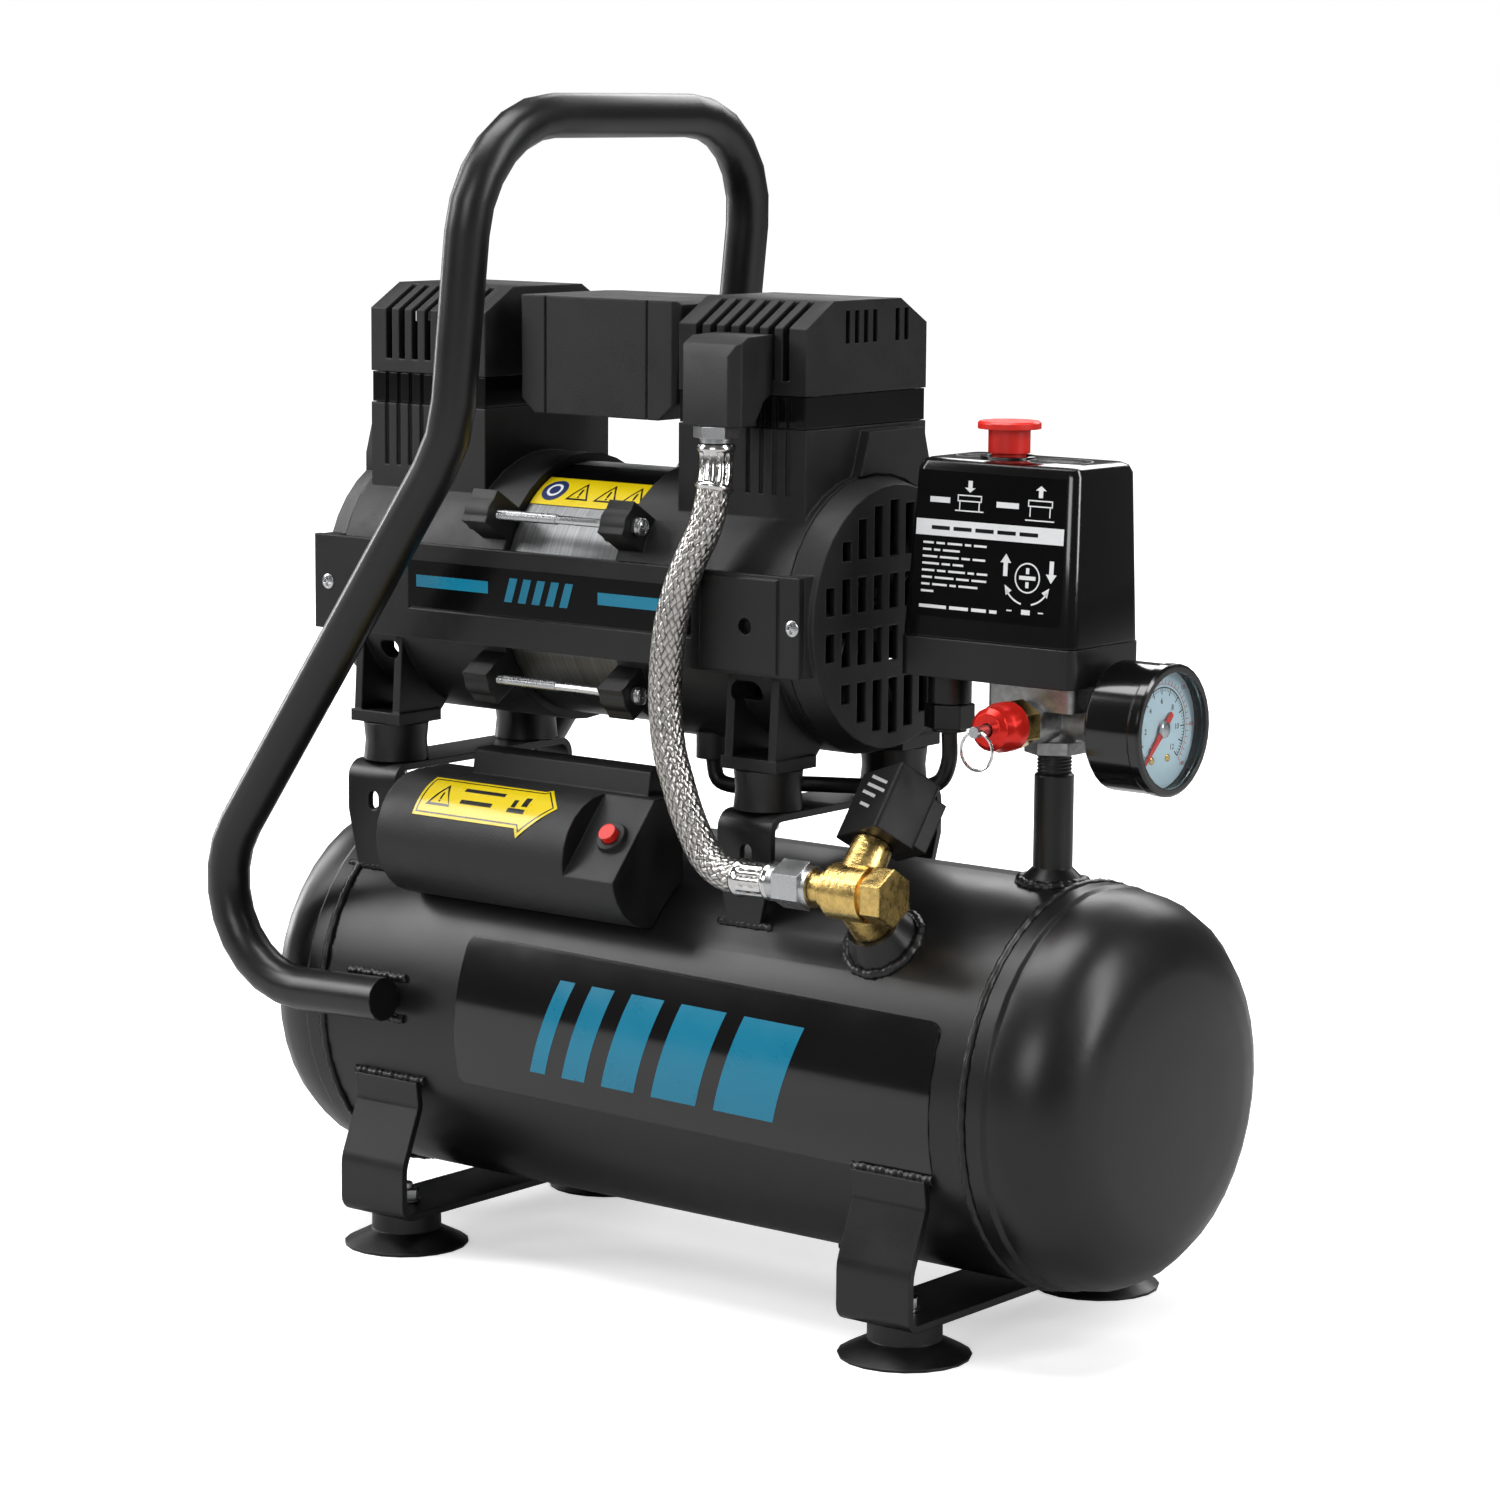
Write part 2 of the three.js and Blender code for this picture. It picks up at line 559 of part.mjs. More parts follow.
// Rotor with its shaft and one eccentric at each end, half a turn apart.
function rotorShaft() {
  const reach = bodyEnd + 4;
  const pin = (side) => bar(
    "x", CRANK.pin, side * towerX - CRANK.width / 2 - 1, side * towerX + CRANK.width / 2 + 1,
    [0, 0, MOTOR.z - side * CRANK.throw], 16,
  );
  const rotor = join(
    motorAxis(CRANK.shaft, -reach, reach, 12),
    motorAxis(CRANK.rotor, -statorEnd + 3, statorEnd - 3, 20),
    pin(-1),
    pin(1),
  );
  part("rotor_shaft", rotor, "steel").position.x = MOTOR.x;
}

function coolingFan(name, side) {
  const end = bodyEnd + 2;
  const start = end - FAN.width;
  let fan = motorAxis(FAN.hub, start, end, 16);
  for (let k = 0; k < FAN.blades; k += 1) {
    const blade = new THREE.BoxGeometry(FAN.width * 1.1, 2, FAN.radius - FAN.hub + 3);
    blade.rotateZ(radians(35));
    blade.translate((start + end) / 2, 0, (FAN.radius + FAN.hub - 3) / 2);
    blade.rotateX((2 * Math.PI * k) / FAN.blades);
    fan = join(fan, solid(blade.translate(0, 0, MOTOR.z)));
  }
  fan = cut(fan, motorAxis(CRANK.shaft + GAP, start - 5, end + 5, 12));
  outward(side, fan, name, "plastic");
}

// Piston, rod and big-end ring in one. The ring keeps twice the throw as clearance round its eccentric.
function piston(name, side) {
  const middle = MOTOR.z - side * CRANK.throw;
  const ringInner = CRANK.pin + 2 * CRANK.throw + CRANK.gap;
  const ringOuter = ringInner + 4;
  const crown = CYLINDER.deckZ - 4 - (CRANK.throw + side * CRANK.throw);
  const half = CRANK.width / 2;
  const x = towerX;
  let body = join(
    bar("x", ringOuter, x - half, x + half, [0, 0, middle], 20),
    bar("z", CYLINDER.bore - GAP, crown - 7, crown, [x, 0, 0], 24),
    box(x - half, x + half, -6, 6, middle + ringInner + 1, crown - 6),
  );
  body = cut(body, bar("x", ringInner, x - half - 1, x + half + 1, [0, 0, middle], 20));
  outward(side, body, name, "casting");
}

// Glossy head plate between tower and cover, open in the middle for the valves.
function cylinderHead(name, side) {
  const z0 = CYLINDER.deckZ;
  const z1 = CYLINDER.deckZ + BAND.height;
  const hd = CYLINDER.depth / 2 - 0.4;
  const [x0, x1] = [CYLINDER.outer - CYLINDER.width + 0.3, CYLINDER.outer - 0.5];
  let head = cut(box(x0, x1, -hd, hd, z0, z1), box(x0 + 12, x1 - 12, -24, 24, z0 - 1, z1 + 1));
  for (let k = 0; k < 4; k += 1) {
    const x = towerX + CYLINDER.width / 2 - 9 - 6.6 * k;
    for (const y of [-hd, hd]) head = cut(head, box(x - 1.1, x + 1.1, y - 1, y + 1, z0 - 1, z1 + 1));
  }
  outward(side, head, name, "gloss");
}

// Louvred cover: a faceted hood with slots over its front and rear slopes and combs in its end wall.
function headCover(name, side) {
  const z0 = CYLINDER.deckZ + BAND.height + GAP;
  const z1 = z0 + COVER.height;
  const hd = CYLINDER.depth / 2;
  const hood = (inset) => {
    const side = hd - inset;
    const shoulder = z0 + COVER.shoulder - inset * 0.4;
    return shapeOf([
      [-side, z0], [side, z0], [side, shoulder], [COVER.ridge - inset * 0.4, z1 - inset],
      [-COVER.ridge + inset * 0.4, z1 - inset], [-side, shoulder],
    ]);
  };
  const [x0, x1] = [CYLINDER.outer - CYLINDER.width, CYLINDER.outer];
  let cover = cut(
    prism("x", hood(0), x0, x1),
    prism("x", hood(COVER.wall), x0 + COVER.wall, x1 - COVER.wall),
    box(x0 + COVER.wall, x1 - COVER.wall, COVER.wall - hd, hd - COVER.wall, z0 - 1, z0 + 1),
  );
  for (let k = 0; k < COVER.slots; k += 1) {
    const x = towerX + (k - (COVER.slots - 1) / 2) * COVER.pitch;
    for (const sy of [-1, 1]) {
      const slot = shapeOf([
        [sy * (hd + 1), z0 + 5.5], [sy * (hd - 4), z0 + 5.5], [sy * (hd - 4), z1 - 14],
        [sy * (COVER.ridge + 1), z1 - 5], [sy * (COVER.ridge + 1), z1 + 1], [sy * (hd + 1), z1 + 1],
      ]);
      cover = cut(cover, prism("x", slot, x - COVER.slot / 2, x + COVER.slot / 2));
    }
  }
  for (const y of [-13, -7, -1, 5, 20, 26]) {
    cover = cut(cover, box(x1 - 5, x1 + 1, side * y - 1.5, side * y + 1.5, z1 - 17, z1 - 4));
  }
  if (side > 0) {
    const port = [ELBOW.x - MOTOR.x, 0, ELBOW.bottom + 20];
    cover = cut(cover, bar("y", 5, -hd - 1, -hd + COVER.wall + 1, port, 16));
  }
  outward(side, cover, name, "plastic");
}

// Muffler box joining the two covers, with a pipe stub to each.
function crossoverBox() {
  const { half, depth, top, bottom, groove } = DUCT;
  const x = MOTOR.x;
  const reach = CYLINDER.outer - CYLINDER.width - GAP;
  const outline = shapeOf([
    [x - half, top - 1.5], [x - half + 1.5, top], [x + half - 1.5, top], [x + half, top - 1.5],
    [x + half - 1.5, bottom + 7], [x + half - 10, bottom],
    [x - half + 10, bottom], [x - half + 1.5, bottom + 7],
  ]);
  const plan = shapeOf([
    [x - half, -depth / 2 + 3], [x - half + 3, -depth / 2],
    [x + half - 3, -depth / 2], [x + half, -depth / 2 + 3],
    [x + half, depth / 2 - 6], [x + half - 6, depth / 2],
    [x - half + 6, depth / 2], [x - half, depth / 2 - 6],
  ]);
  let body = prism("y", outline, -depth / 2, depth / 2).intersect(prism("z", plan, bottom - 1, top + 1));
  const pipeZ = top - 17;
  body = join(body, bar("x", 9, x - reach, x + reach, [0, 0, pipeZ], 16));
  body = cut(
    body,
    box(x - half + 4, x + half - 4, -depth / 2 + 4, depth / 2 - 4, bottom + 8, top - 4),
    bar("x", 6, x - reach - 1, x + reach + 1, [0, 0, pipeZ], 10),
  );
  for (const gx of [x - half + groove, x + half - groove]) {
    body = cut(body, box(gx - 0.6, gx + 0.6, -depth / 2 - 1, -depth / 2 + 0.8, bottom - 1, top + 1));
  }
  part("crossover_box", body, "plastic");
}

const hosePort = vec(ELBOW.x - 1, -CYLINDER.depth / 2 - ELBOW.reach + 7, ELBOW.bottom);

function outletElbow() {
  const back = -CYLINDER.depth / 2 - GAP;
  const front = back + GAP - ELBOW.reach;
  const { top, bottom, chamfer } = ELBOW;
  const [x0, x1] = [ELBOW.x - ELBOW.width / 2, ELBOW.x + ELBOW.width / 2];
  const side = shapeOf([
    [back, top], [front + 8, top - 0.6], [front + 2.5, top - 3.5], [front, top - 8], [front, bottom],
    [front + 12, bottom], [front + 18, bottom + 9.5], [back, bottom + 12.5],
  ]);
  const plan = shapeOf([
    [x0, back], [x0, front + 2], [x0 + 2, front], [x1 - chamfer, front], [x1, front + chamfer], [x1, back],
  ]);
  const body = prism("x", side, x0, x1).intersect(prism("z", plan, bottom - 1, top + 1));
  const bores = [
    bar("z", 4.8, bottom - 1, bottom + 24, [hosePort.x, hosePort.y, 0], 10),
    bar("y", 4.2, hosePort.y, back + 1, [ELBOW.x, 0, bottom + 20], 10),
  ];
  part("outlet_elbow", cut(body, ...bores), "plastic");
}

// ---------------------------------------------------------------- delivery hose and check valve
const hoseRoute = [
  [27, -56.7, 349], [27, -56.7, 341], [27.6, -58.2, 333], [26.4, -62, 317], [22.4, -65.6, 304.6],
  [18.5, -68.3, 292],
  [15.7, -70, 279.2], [14.2, -70.8, 266.8], [13.4, -71, 254.3], [13.9, -71.4, 242.3], [16.3, -71.8, 227.5],
  [20.5, -72.3, 216.3], [25.8, -72.9, 204.2], [32, -73.6, 193.8], [38.5, -74.2, 186.2], [47.5, -74.7, 181.6],
  [58, -75, 181],
].map((p) => vec(...p));

function hose() {
  const upper = vec(hosePort.x, hosePort.y, ELBOW.bottom - 7.4);
  const lowerEnd = vec(VALVE.x - 37.6, valveCentre.y, valveCentre.z);
  const stations = [upper, ...hoseRoute.slice(1), lowerEnd];
  const line = new THREE.CatmullRomCurve3(stations).getPoints(34);
  const crimp = (a, b) => barBetween(HOSE.ferrule, a, b, 16);
  const body = join(
    tube(line, HOSE.radius, HOSE.sides),
    crimp(upper, vec(hosePort.x, hosePort.y, ELBOW.bottom - 20)),
    crimp(vec(59.5, valveCentre.y, valveCentre.z), lowerEnd),
  );
  part("braided_hose", body, "braid");
}

function hoseNuts() {
  const { x, y } = hosePort;
  const seat = ELBOW.bottom - GAP;
  const upper = join(
    bar("z", HOSE.nut, seat - 4.6, seat, [x, y, 0], 6),
    bar("z", 6.6, seat - 6.6, seat - 4, [x, y, 0], 16),
    bar("z", 4.4, seat - 1, seat + 12, [x, y, 0], 10),
  );
  part("hose_nut_upper", cut(upper, bar("z", 2.5, seat - 8, seat + 13, [x, y, 0], 8)), "zinc");
  const c = [0, valveCentre.y, valveCentre.z];
  const [start, end] = [VALVE.x - 37.3, VALVE.x - 17.6];
  const lower = join(
    bar("x", HOSE.nut + 0.6, start + 4, end - 3, c, 6),
    bar("x", HOSE.nut - 1.4, start, start + 5, c, 16),
    bar("x", HOSE.nut - 1, end - 4, end, c, 16),
  );
  part("hose_nut_lower", cut(lower, bar("x", 3, start - 1, end + 1, c, 8)), "zinc");
}

// Brass tee: union stub, round body, hexagonal cap, spigot to the bung and stem up to the coil.
function checkValve() {
  const c = [0, valveCentre.y, valveCentre.z];
  const alongCoil = (d) => valveCentre.clone().addScaledVector(coilDirection, d);
  const coilBase = COIL.reach - COIL.m / 2;
  const body = join(
    bar("x", 6.6, VALVE.x - 17.3, VALVE.x, c, 12),
    bar("x", 8.2, VALVE.x - 12, VALVE.x - 8, c, 16),
    bar("x", VALVE.body, VALVE.x - 8, VALVE.x + 9, c, 24),
    bar("x", 8.6, VALVE.x + 8, VALVE.x + 12, c, 16),
    bar("x", VALVE.body + 0.4, VALVE.x + 11, VALVE.x + 20, c, 6),
    barBetween(VALVE.body - 2, onBung(bungTop + GAP), valveCentre, 16),
    barBetween(VALVE.stem, valveCentre, alongCoil(coilBase - GAP), 16, VALVE.stem - 1),
    barBetween(COIL.tube, valveCentre, alongCoil(COIL.reach + COIL.m / 2 + 3), 12),
  );
  const bores = [
    bar("x", 3, VALVE.x - 18, VALVE.x + 6, c, 8),
    barBetween(3, onBung(bungTop - 1), valveCentre, 8),
  ];
  part("check_valve", cut(body, ...bores), "brass");
}

function solenoidCoil() {
  const holder = new THREE.Group();
  const down = vec(0, coilDirection.z, -coilDirection.y);
  const turn = radians(COIL.turn);
  const a = vec(1, 0, 0).multiplyScalar(Math.cos(turn)).addScaledVector(down, Math.sin(turn));
  const b = coilDirection.clone().cross(a);
  holder.quaternion.setFromRotationMatrix(new THREE.Matrix4().makeBasis(a, b, coilDirection));
  holder.position.copy(valveCentre).addScaledVector(coilDirection, COIL.reach);
  compressor.add(holder);
  const [ha, hb, hm] = [COIL.a / 2, COIL.b / 2, COIL.m / 2];
  const coil = join(
    prism("z", roundedShape(COIL.a, COIL.b, 1.5), -hm, hm, 2),
    box(-ha + 5, ha - 4, hb - 1, hb + 7, -hm + 3, hm - 4),
  );
  const tubeHole = bar("z", COIL.tube + GAP, -hm - 1, hm + 1, [0, 0, 0], 12);
  part("solenoid_coil", cut(coil, tubeHole), "plastic", holder);
}

// Thumbscrew drain under the belly.
function drainValve() {
  const socketEnd = axisZ - TANK.radius - 4;
  const seat = socketEnd - GAP;
  const body = join(
    bar("z", DRAIN.bore - GAP, seat - 1, seat + 6, [DRAIN.x, 0, 0], 12),
    bar("z", 6.5, seat - 4, seat, [DRAIN.x, 0, 0], 6),
    bar("z", 3, seat - 8, seat - 3, [DRAIN.x, 0, 0], 12),
    box(DRAIN.x - 8, DRAIN.x + 8, -1.2, 1.2, seat - 9.5, seat - 5),
  );
  part("drain_valve", body, "brass");
}

// ---------------------------------------------------------------- pressure switch stack
function riserPipe() {
  const foot = axisZ + TANK.radius;
  const profile = [
    [RISER.bore, foot - 3], [13, foot - 3], [12, foot + 1.5], [RISER.radius, foot + 5.5],
    [RISER.radius, RISER.shoulderZ], [RISER.thread, RISER.shoulderZ + 1.5],
    [RISER.thread, RISER.topZ + 8], [RISER.bore, RISER.topZ + 8], [RISER.bore, foot - 3],
  ];
  const clearance = bar("x", TANK.radius + GAP, RISER.x - 20, RISER.x + 20, [0, 0, axisZ], TANK.sides);
  part("riser_pipe", cut(turned("z", profile, [RISER.x, 0, 0], 20), clearance), "powder");
}

function manifold() {
  const { x } = RISER;
  const base = RISER.topZ + GAP;
  const seat = SWITCH.bottom - GAP;
  const body = join(
    bar("z", 12, base, base + 5, [x, 0, 0], 6),
    bar("z", PORT.body, base, seat - 8, [x, 0, 0], 20),
    bar("x", PORT.gauge, x - 3, x + 19, [0, 0, PORT.z], 16),
    bar("y", PORT.valve, -PORT.valveEnd, 2, [x, 0, PORT.z], 16),
    bar("x", PORT.plug, x - 14, x - 1, [0, 0, PORT.z], 12),
    bar("y", PORT.plug, 1, 13, [x, 0, PORT.z], 6),
    prism("z", roundedShape(41, 36, 3, x, 0), seat - 9.8, seat),
  );
  const bores = [
    bar("z", RISER.thread + GAP, base - 1, base + 10, [x, 0, 0], 16),
    bar("z", 3, base, seat + 1, [x, 0, 0], 8),
    bar("x", 3.4, x - 2, x + 20, [0, 0, PORT.z], 8),
    bar("y", 3.6, -PORT.valveEnd - 1, 1, [x, 0, PORT.z], 8),
  ];
  part("manifold", cut(body, ...bores), "casting");
}

// Tray of the switch, with its cable gland.
function switchBase() {
  const { x, y, length, depth, bottom, split, wall } = SWITCH;
  const tray = cut(
    prism("z", roundedShape(length, depth, 5, x, y), bottom, split - GAP),
    prism("z", roundedShape(length - 2 * wall, depth - 2 * wall, 3, x, y), bottom + 3, split + 1),
  );
  const g = [GLAND.x, GLAND.y, 0];
  const body = join(
    tray,
    bar("z", GLAND.radius, bottom - 12, bottom + 1, g, 20),
    bar("z", GLAND.nut, bottom - 22, bottom - 12.4, g, 6),
    bar("z", GLAND.nut - 3, bottom - GLAND.drop, bottom - 11, g, 16),
  );
  part("switch_base", cut(body, bar("z", GLAND.bore, bottom - GLAND.drop - 1, bottom + 4, g, 10)), "plastic");
}

// Tapered hood of the switch, leaning in on its front and on its motor side.
function switchCover() {
  const { x, y, length, depth, split, top, wall, lean } = SWITCH;
  const layers = (inset) => {
    const level = (z, narrower, shallower, dx, dy) => [
      z, (length - narrower - 2 * inset) / length, (depth - shallower - 2 * inset) / depth, x + dx, y + dy,
    ];
    return [
      level(inset > 0 ? split - 1 : split, 0.4, 0.4, 0, 0),
      level(top - 4 - inset / 2, lean.x, lean.y, lean.dx, lean.dy),
      level(top - 1.2 - inset, lean.x + 2.4, lean.y + 2.4, lean.dx, lean.dy),
      level(top - inset, lean.x + 7, lean.y + 7, lean.dx, lean.dy),
    ];
  };
  const outline = roundedShape(length, depth, 5.5);
  let cover = cut(lofted(outline, layers(0)), lofted(outline, layers(wall)));
  const c = [KNOB.x, 0, 0];
  cover = join(cover, bar("z", KNOB.stem + 3, top - wall, top + 0.8, c, 24));
  part("switch_cover", cut(cover, bar("z", KNOB.stem + 0.5, top - 10, top + 2, c, 24)), "plastic");
}

function switchKnob() {
  const c = [KNOB.x, 0, 0];
  const shoulder = SWITCH.top + 2;
  const { top, stem, flange } = KNOB;
  const profile = [
    [0, shoulder - 16], [stem - 1.5, shoulder - 16], [stem - 1.5, shoulder], [stem, shoulder],
    [stem, top - 3], [flange, top - 3], [flange, top - 0.8], [flange - 0.8, top], [0, top],
  ];
  part("switch_knob", turned("z", profile, c, 24), "red");
}

// ---------------------------------------------------------------- gauge
function gauge() {
  const c = [0, 0, PORT.z];
  const { back, front, radius, rim, wall } = GAUGE;
  const neck = RISER.x + 19 + GAP;
  const profile = [
    [0, neck], [4.3, neck], [4.3, back], [radius - 2, back], [radius, back + 2],
    [radius, front - 5], [rim, front - 4.4], [rim, front - 0.8], [rim - 1, front], [rim - 3.2, front],
    [rim - 3.2, front - 1.6], [radius - wall, front - 1.6], [radius - wall, back + wall], [0, back + wall],
  ];
  part("gauge_case", turned("x", profile, c, 32), "gloss");
  const fit = radius - wall - GAP;
  const dialFace = front - 6.4;
  const spindleHole = bar("x", 1.6, dialFace - 3, dialFace + 1, c, 10);
  const dial = cut(bar("x", fit, dialFace - 1.4, dialFace, c, 32), spindleHole);
  part("gauge_dial", dial, "dial");
  part("gauge_lens", bar("x", fit, front - 3, front - 1.6 - GAP, c, 32), "glass");
  // The pointer rests low on the left of the dial, where the scale starts.
  const pointer = join(
    turned("x", [[0, dialFace - 5], [1.2, dialFace - 5], [1.2, dialFace + 0.5], [2.4, dialFace + 0.5],
      [2.4, dialFace + 2.4], [0, dialFace + 2.4]], [0, 0, 0], 12),
    prism("x", shapeOf([[-1, -8], [1, -8], [1.4, 0], [0.3, 18.5], [-0.3, 18.5], [-1.4, 0]]),
      dialFace + 0.8, dialFace + 1.6),
  );
  const needle = part("gauge_needle", pointer, "red");
  needle.rotation.x = radians(135);
  needle.position.set(...c);
}

// ---------------------------------------------------------------- safety valve
function safetyValve() {
  const { hex, cap, nose, capBack, capFront, stem, ring } = SAFETY;
  const at = [RISER.x, 0, PORT.z];
  const seat = -PORT.valveEnd - GAP;
  const brass = join(
    bar("y", hex, -capBack + GAP, seat, at, 6),
    bar("y", 7, -capBack - 8, -capBack + 1, at, 16),
    bar("y", 3.1, seat - 1, seat + 8, at, 8),
  );
  part("safety_valve", cut(brass, bar("y", stem + 0.4, -capBack - 9, -capBack + 6, at, 10)), "brass");
  const shell = turned("y", [
    [7.4, -capBack], [cap, -capBack], [cap, -capBack - 6.5], [nose + 0.5, -capBack - 8],
    [nose, -capFront + 2], [nose - 2, -capFront], [stem + 0.5, -capFront], [stem + 0.5, -capBack - 9],
    [7.4, -capBack - 9], [7.4, -capBack],
  ], at, 20);
  part("safety_cap", shell, "red");
  const tip = -capFront - 8.8;
  const eye = tip + 2.4;
  const pin = cut(
    bar("y", stem, tip, -capBack + 4, at, 10),
    bar("x", 1.2, RISER.x - 5, RISER.x + 5, [0, eye, PORT.z], 8),
  );
  part("safety_stem", pin, "brass");
  const loop = new THREE.TorusGeometry(ring, 0.65, 5, 20);
  loop.rotateX(Math.PI / 2).translate(RISER.x, eye, PORT.z - ring);
  part("pull_ring", solid(loop), "steel");
}

// ---------------------------------------------------------------- start box with reset button
// The round front is cut flat at the button's end, between these two angles of the round.
const facet = { high: radians(88), low: radians(190) };
const onRound = (angle, radius = BOX.radius) => [
  BOX.y + radius * Math.cos(angle),
  BOX.z + radius * Math.sin(angle),
];
const facetEnds = [onRound(facet.high), onRound(facet.low)];
const facetNormal = vec(0, Math.cos((facet.high + facet.low) / 2), Math.sin((facet.high + facet.low) / 2));
const facetMiddle = vec(
  BUTTON.x,
  (facetEnds[0][0] + facetEnds[1][0]) / 2,
  (facetEnds[0][1] + facetEnds[1][1]) / 2,
);
const offFacet = (distance) => facetMiddle.clone().addScaledVector(facetNormal, distance);

function startBox() {
  const { left, right, z, radius, back, wall } = BOX;
  const outline = (inset) => {
    const arc = Array.from({ length: 13 }, (_, k) => onRound(Math.PI * (0.5 + k / 12), radius - inset));
    return shapeOf([...arc, [back, z - radius + inset], [back, z + radius - inset]]);
  };
  const hollowEnd = right - BOX.facet - wall;
  const block = shapeOf([
    [BLOCK.front, z + 18], [back, z + 18], [back, BLOCK.top], [BLOCK.front + 5, BLOCK.top],
    [BLOCK.front + 3, BLOCK.top - 1],
  ]);
  let body = join(prism("x", outline(0), left, right), prism("x", block, BLOCK.left, BLOCK.right));
  body = cut(
    body,
    prism("x", outline(wall), left + wall, hollowEnd),
    box(left + wall, hollowEnd, back - 6, back + 1, z - radius + wall, z + 14),
  );
  const beyond = ([y, up]) => [y + 30 * facetNormal.y, up + 30 * facetNormal.z];
  const [a, b] = facetEnds;
  body = cut(body, prism("x", shapeOf([a, beyond(a), beyond(b), b]), right - BOX.facet, right + 1));
  body = join(body, barBetween(BUTTON.collar, offFacet(-3), offFacet(BUTTON.lift), 20, BUTTON.collar - 1.4));
  body = cut(body, barBetween(BUTTON.radius + GAP, offFacet(-14), offFacet(BUTTON.lift + 1), 14));
  const clearance = bar("x", TANK.radius + 2 * GAP, left - 1, right + 1, [0, 0, axisZ], TANK.sides);
  part("start_box", cut(body, clearance), "plastic");
  part("reset_button", barBetween(BUTTON.radius, offFacet(-9), offFacet(BUTTON.lift + 3), 14), "red");
}

// ---------------------------------------------------------------- cable from switch to motor
function motorCable() {
  const glandEnd = SWITCH.bottom - GLAND.drop - GAP;
  const motorGland = [MOTOR.x + 52, -16, MOTOR.z - 63.3];
  const route = [
    [GLAND.x, GLAND.y, glandEnd], [GLAND.x, GLAND.y, glandEnd - 12], [102, -8, 215.5], [88, -8.5, 212],
    [66, -9.5, 210.5], [42, -11, 209], [20, -13, 207.3], [6, -15, 205], [-3.5, -16, 207], motorGland,
  ].map((p) => vec(...p));
  const line = new THREE.CatmullRomCurve3(route).getPoints(24);
  part("motor_cable", tube(line, CABLE.radius, CABLE.sides), "rubber");
}

// ---------------------------------------------------------------- assembly
tankShell();
eachSide((word, side) => {
  tankHead(`tank_head_${word}`, side);
  legStrap(`leg_strap_${word}`, side);
  motorCradle(`motor_cradle_${word}`, side);
  crankcase(`crankcase_${word}`, side);
  endGrille(`end_grille_${word}`, side);
  cylinderHead(`cylinder_head_${word}`, side);
  headCover(`head_cover_${word}`, side);
  coolingFan(`cooling_fan_${word}`, side);
  piston(`piston_${word}`, side);
  for (const [row, sy] of [["front", -1], ["back", 1]]) {
    suctionFoot(`foot_${row}_${word}`, side * FOOT.x, sy * FOOT.y);
    rubberDamper(`damper_${row}_${word}`, MOTOR.x + (side * CRADLE.spacing) / 2, sy * DAMPER.y);
  }
});
carryHandle();
statorCore();
sidePanel("side_panel_front", -1);
sidePanel("side_panel_back", 1);
fourTies((y, z, sy, sz) => tieRod(`tie_rod_${sy < 0 ? "front" : "back"}_${sz < 0 ? "low" : "high"}`, y, z));
rotorShaft();
crossoverBox();
outletElbow();
hose();
hoseNuts();
checkValve();
solenoidCoil();
drainValve();
riserPipe();
manifold();
switchBase();
switchCover();
switchKnob();
gauge();
safetyValve();
startBox();
motorCable();

// The origin is the middle of the bounding box, on the floor.
compressor.updateMatrixWorld(true);
const extent = new THREE.Box3().setFromObject(compressor, true);
const centre = extent.getCenter(new THREE.Vector3());
compressor.position.set(-centre.x, -centre.y, -extent.min.z);

export default compressor;
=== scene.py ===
"""Looks of a small twin-cylinder, oil-free air compressor around its fixed frame, as a Blender add-on."""

import math

import bmesh
import bpy
from mathutils import Matrix, Vector


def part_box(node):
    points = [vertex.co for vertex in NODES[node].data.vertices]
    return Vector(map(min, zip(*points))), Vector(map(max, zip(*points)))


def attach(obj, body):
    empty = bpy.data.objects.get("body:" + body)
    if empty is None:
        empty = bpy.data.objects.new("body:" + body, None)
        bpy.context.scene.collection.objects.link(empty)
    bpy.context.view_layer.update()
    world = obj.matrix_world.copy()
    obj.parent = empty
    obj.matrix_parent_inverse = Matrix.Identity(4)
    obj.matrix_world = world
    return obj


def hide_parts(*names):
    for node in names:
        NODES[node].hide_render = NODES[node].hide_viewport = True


bl_info = {
    "name": "Air compressor",
    "version": (1, 0, 0),
    "blender": (4, 5, 0),
    "location": "View3D > Sidebar > Compressor",
    "description": "Builds the finishes, fasteners, welds, decals, hose and stage of an air compressor",
    "category": "Object",
}

MM = 0.001
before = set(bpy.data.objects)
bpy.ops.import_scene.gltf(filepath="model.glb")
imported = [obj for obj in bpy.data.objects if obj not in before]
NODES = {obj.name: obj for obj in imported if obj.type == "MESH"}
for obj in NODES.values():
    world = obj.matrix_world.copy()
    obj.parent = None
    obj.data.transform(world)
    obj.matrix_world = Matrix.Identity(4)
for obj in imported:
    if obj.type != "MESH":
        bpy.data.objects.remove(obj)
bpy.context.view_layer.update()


def low(node):
    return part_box(node)[0]


def high(node):
    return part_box(node)[1]


def middle_of(node):
    return low(node).lerp(high(node), 0.5)


UP = Vector((0, 0, 1))
ENDS = ("left", "right")
FACES = {"front": -1, "back": 1}  # which way each face looks along Y
TANK_RADIUS = high("tank_shell").y
AXIS_Z = high("tank_shell").z - TANK_RADIUS
MIDDLE_X = (low("tank_shell").x + high("tank_shell").x) / 2
ROOT = "compressor"
HANDLE_END = (-153, -120)  # along the tank, in mm
BUNG_X = 110.3
BUNG_LEAN = 43  # degrees that the check valve's bung leans forward from the tank's top
PLATE = 3.1 * MM  # thickness of the bent brackets, with a gap
ON_TOP = 0.02 * MM  # gap under a piece that rests on a face
BAR_LEAN = 0.32  # how far a decal's bar leans, for each mm of its height


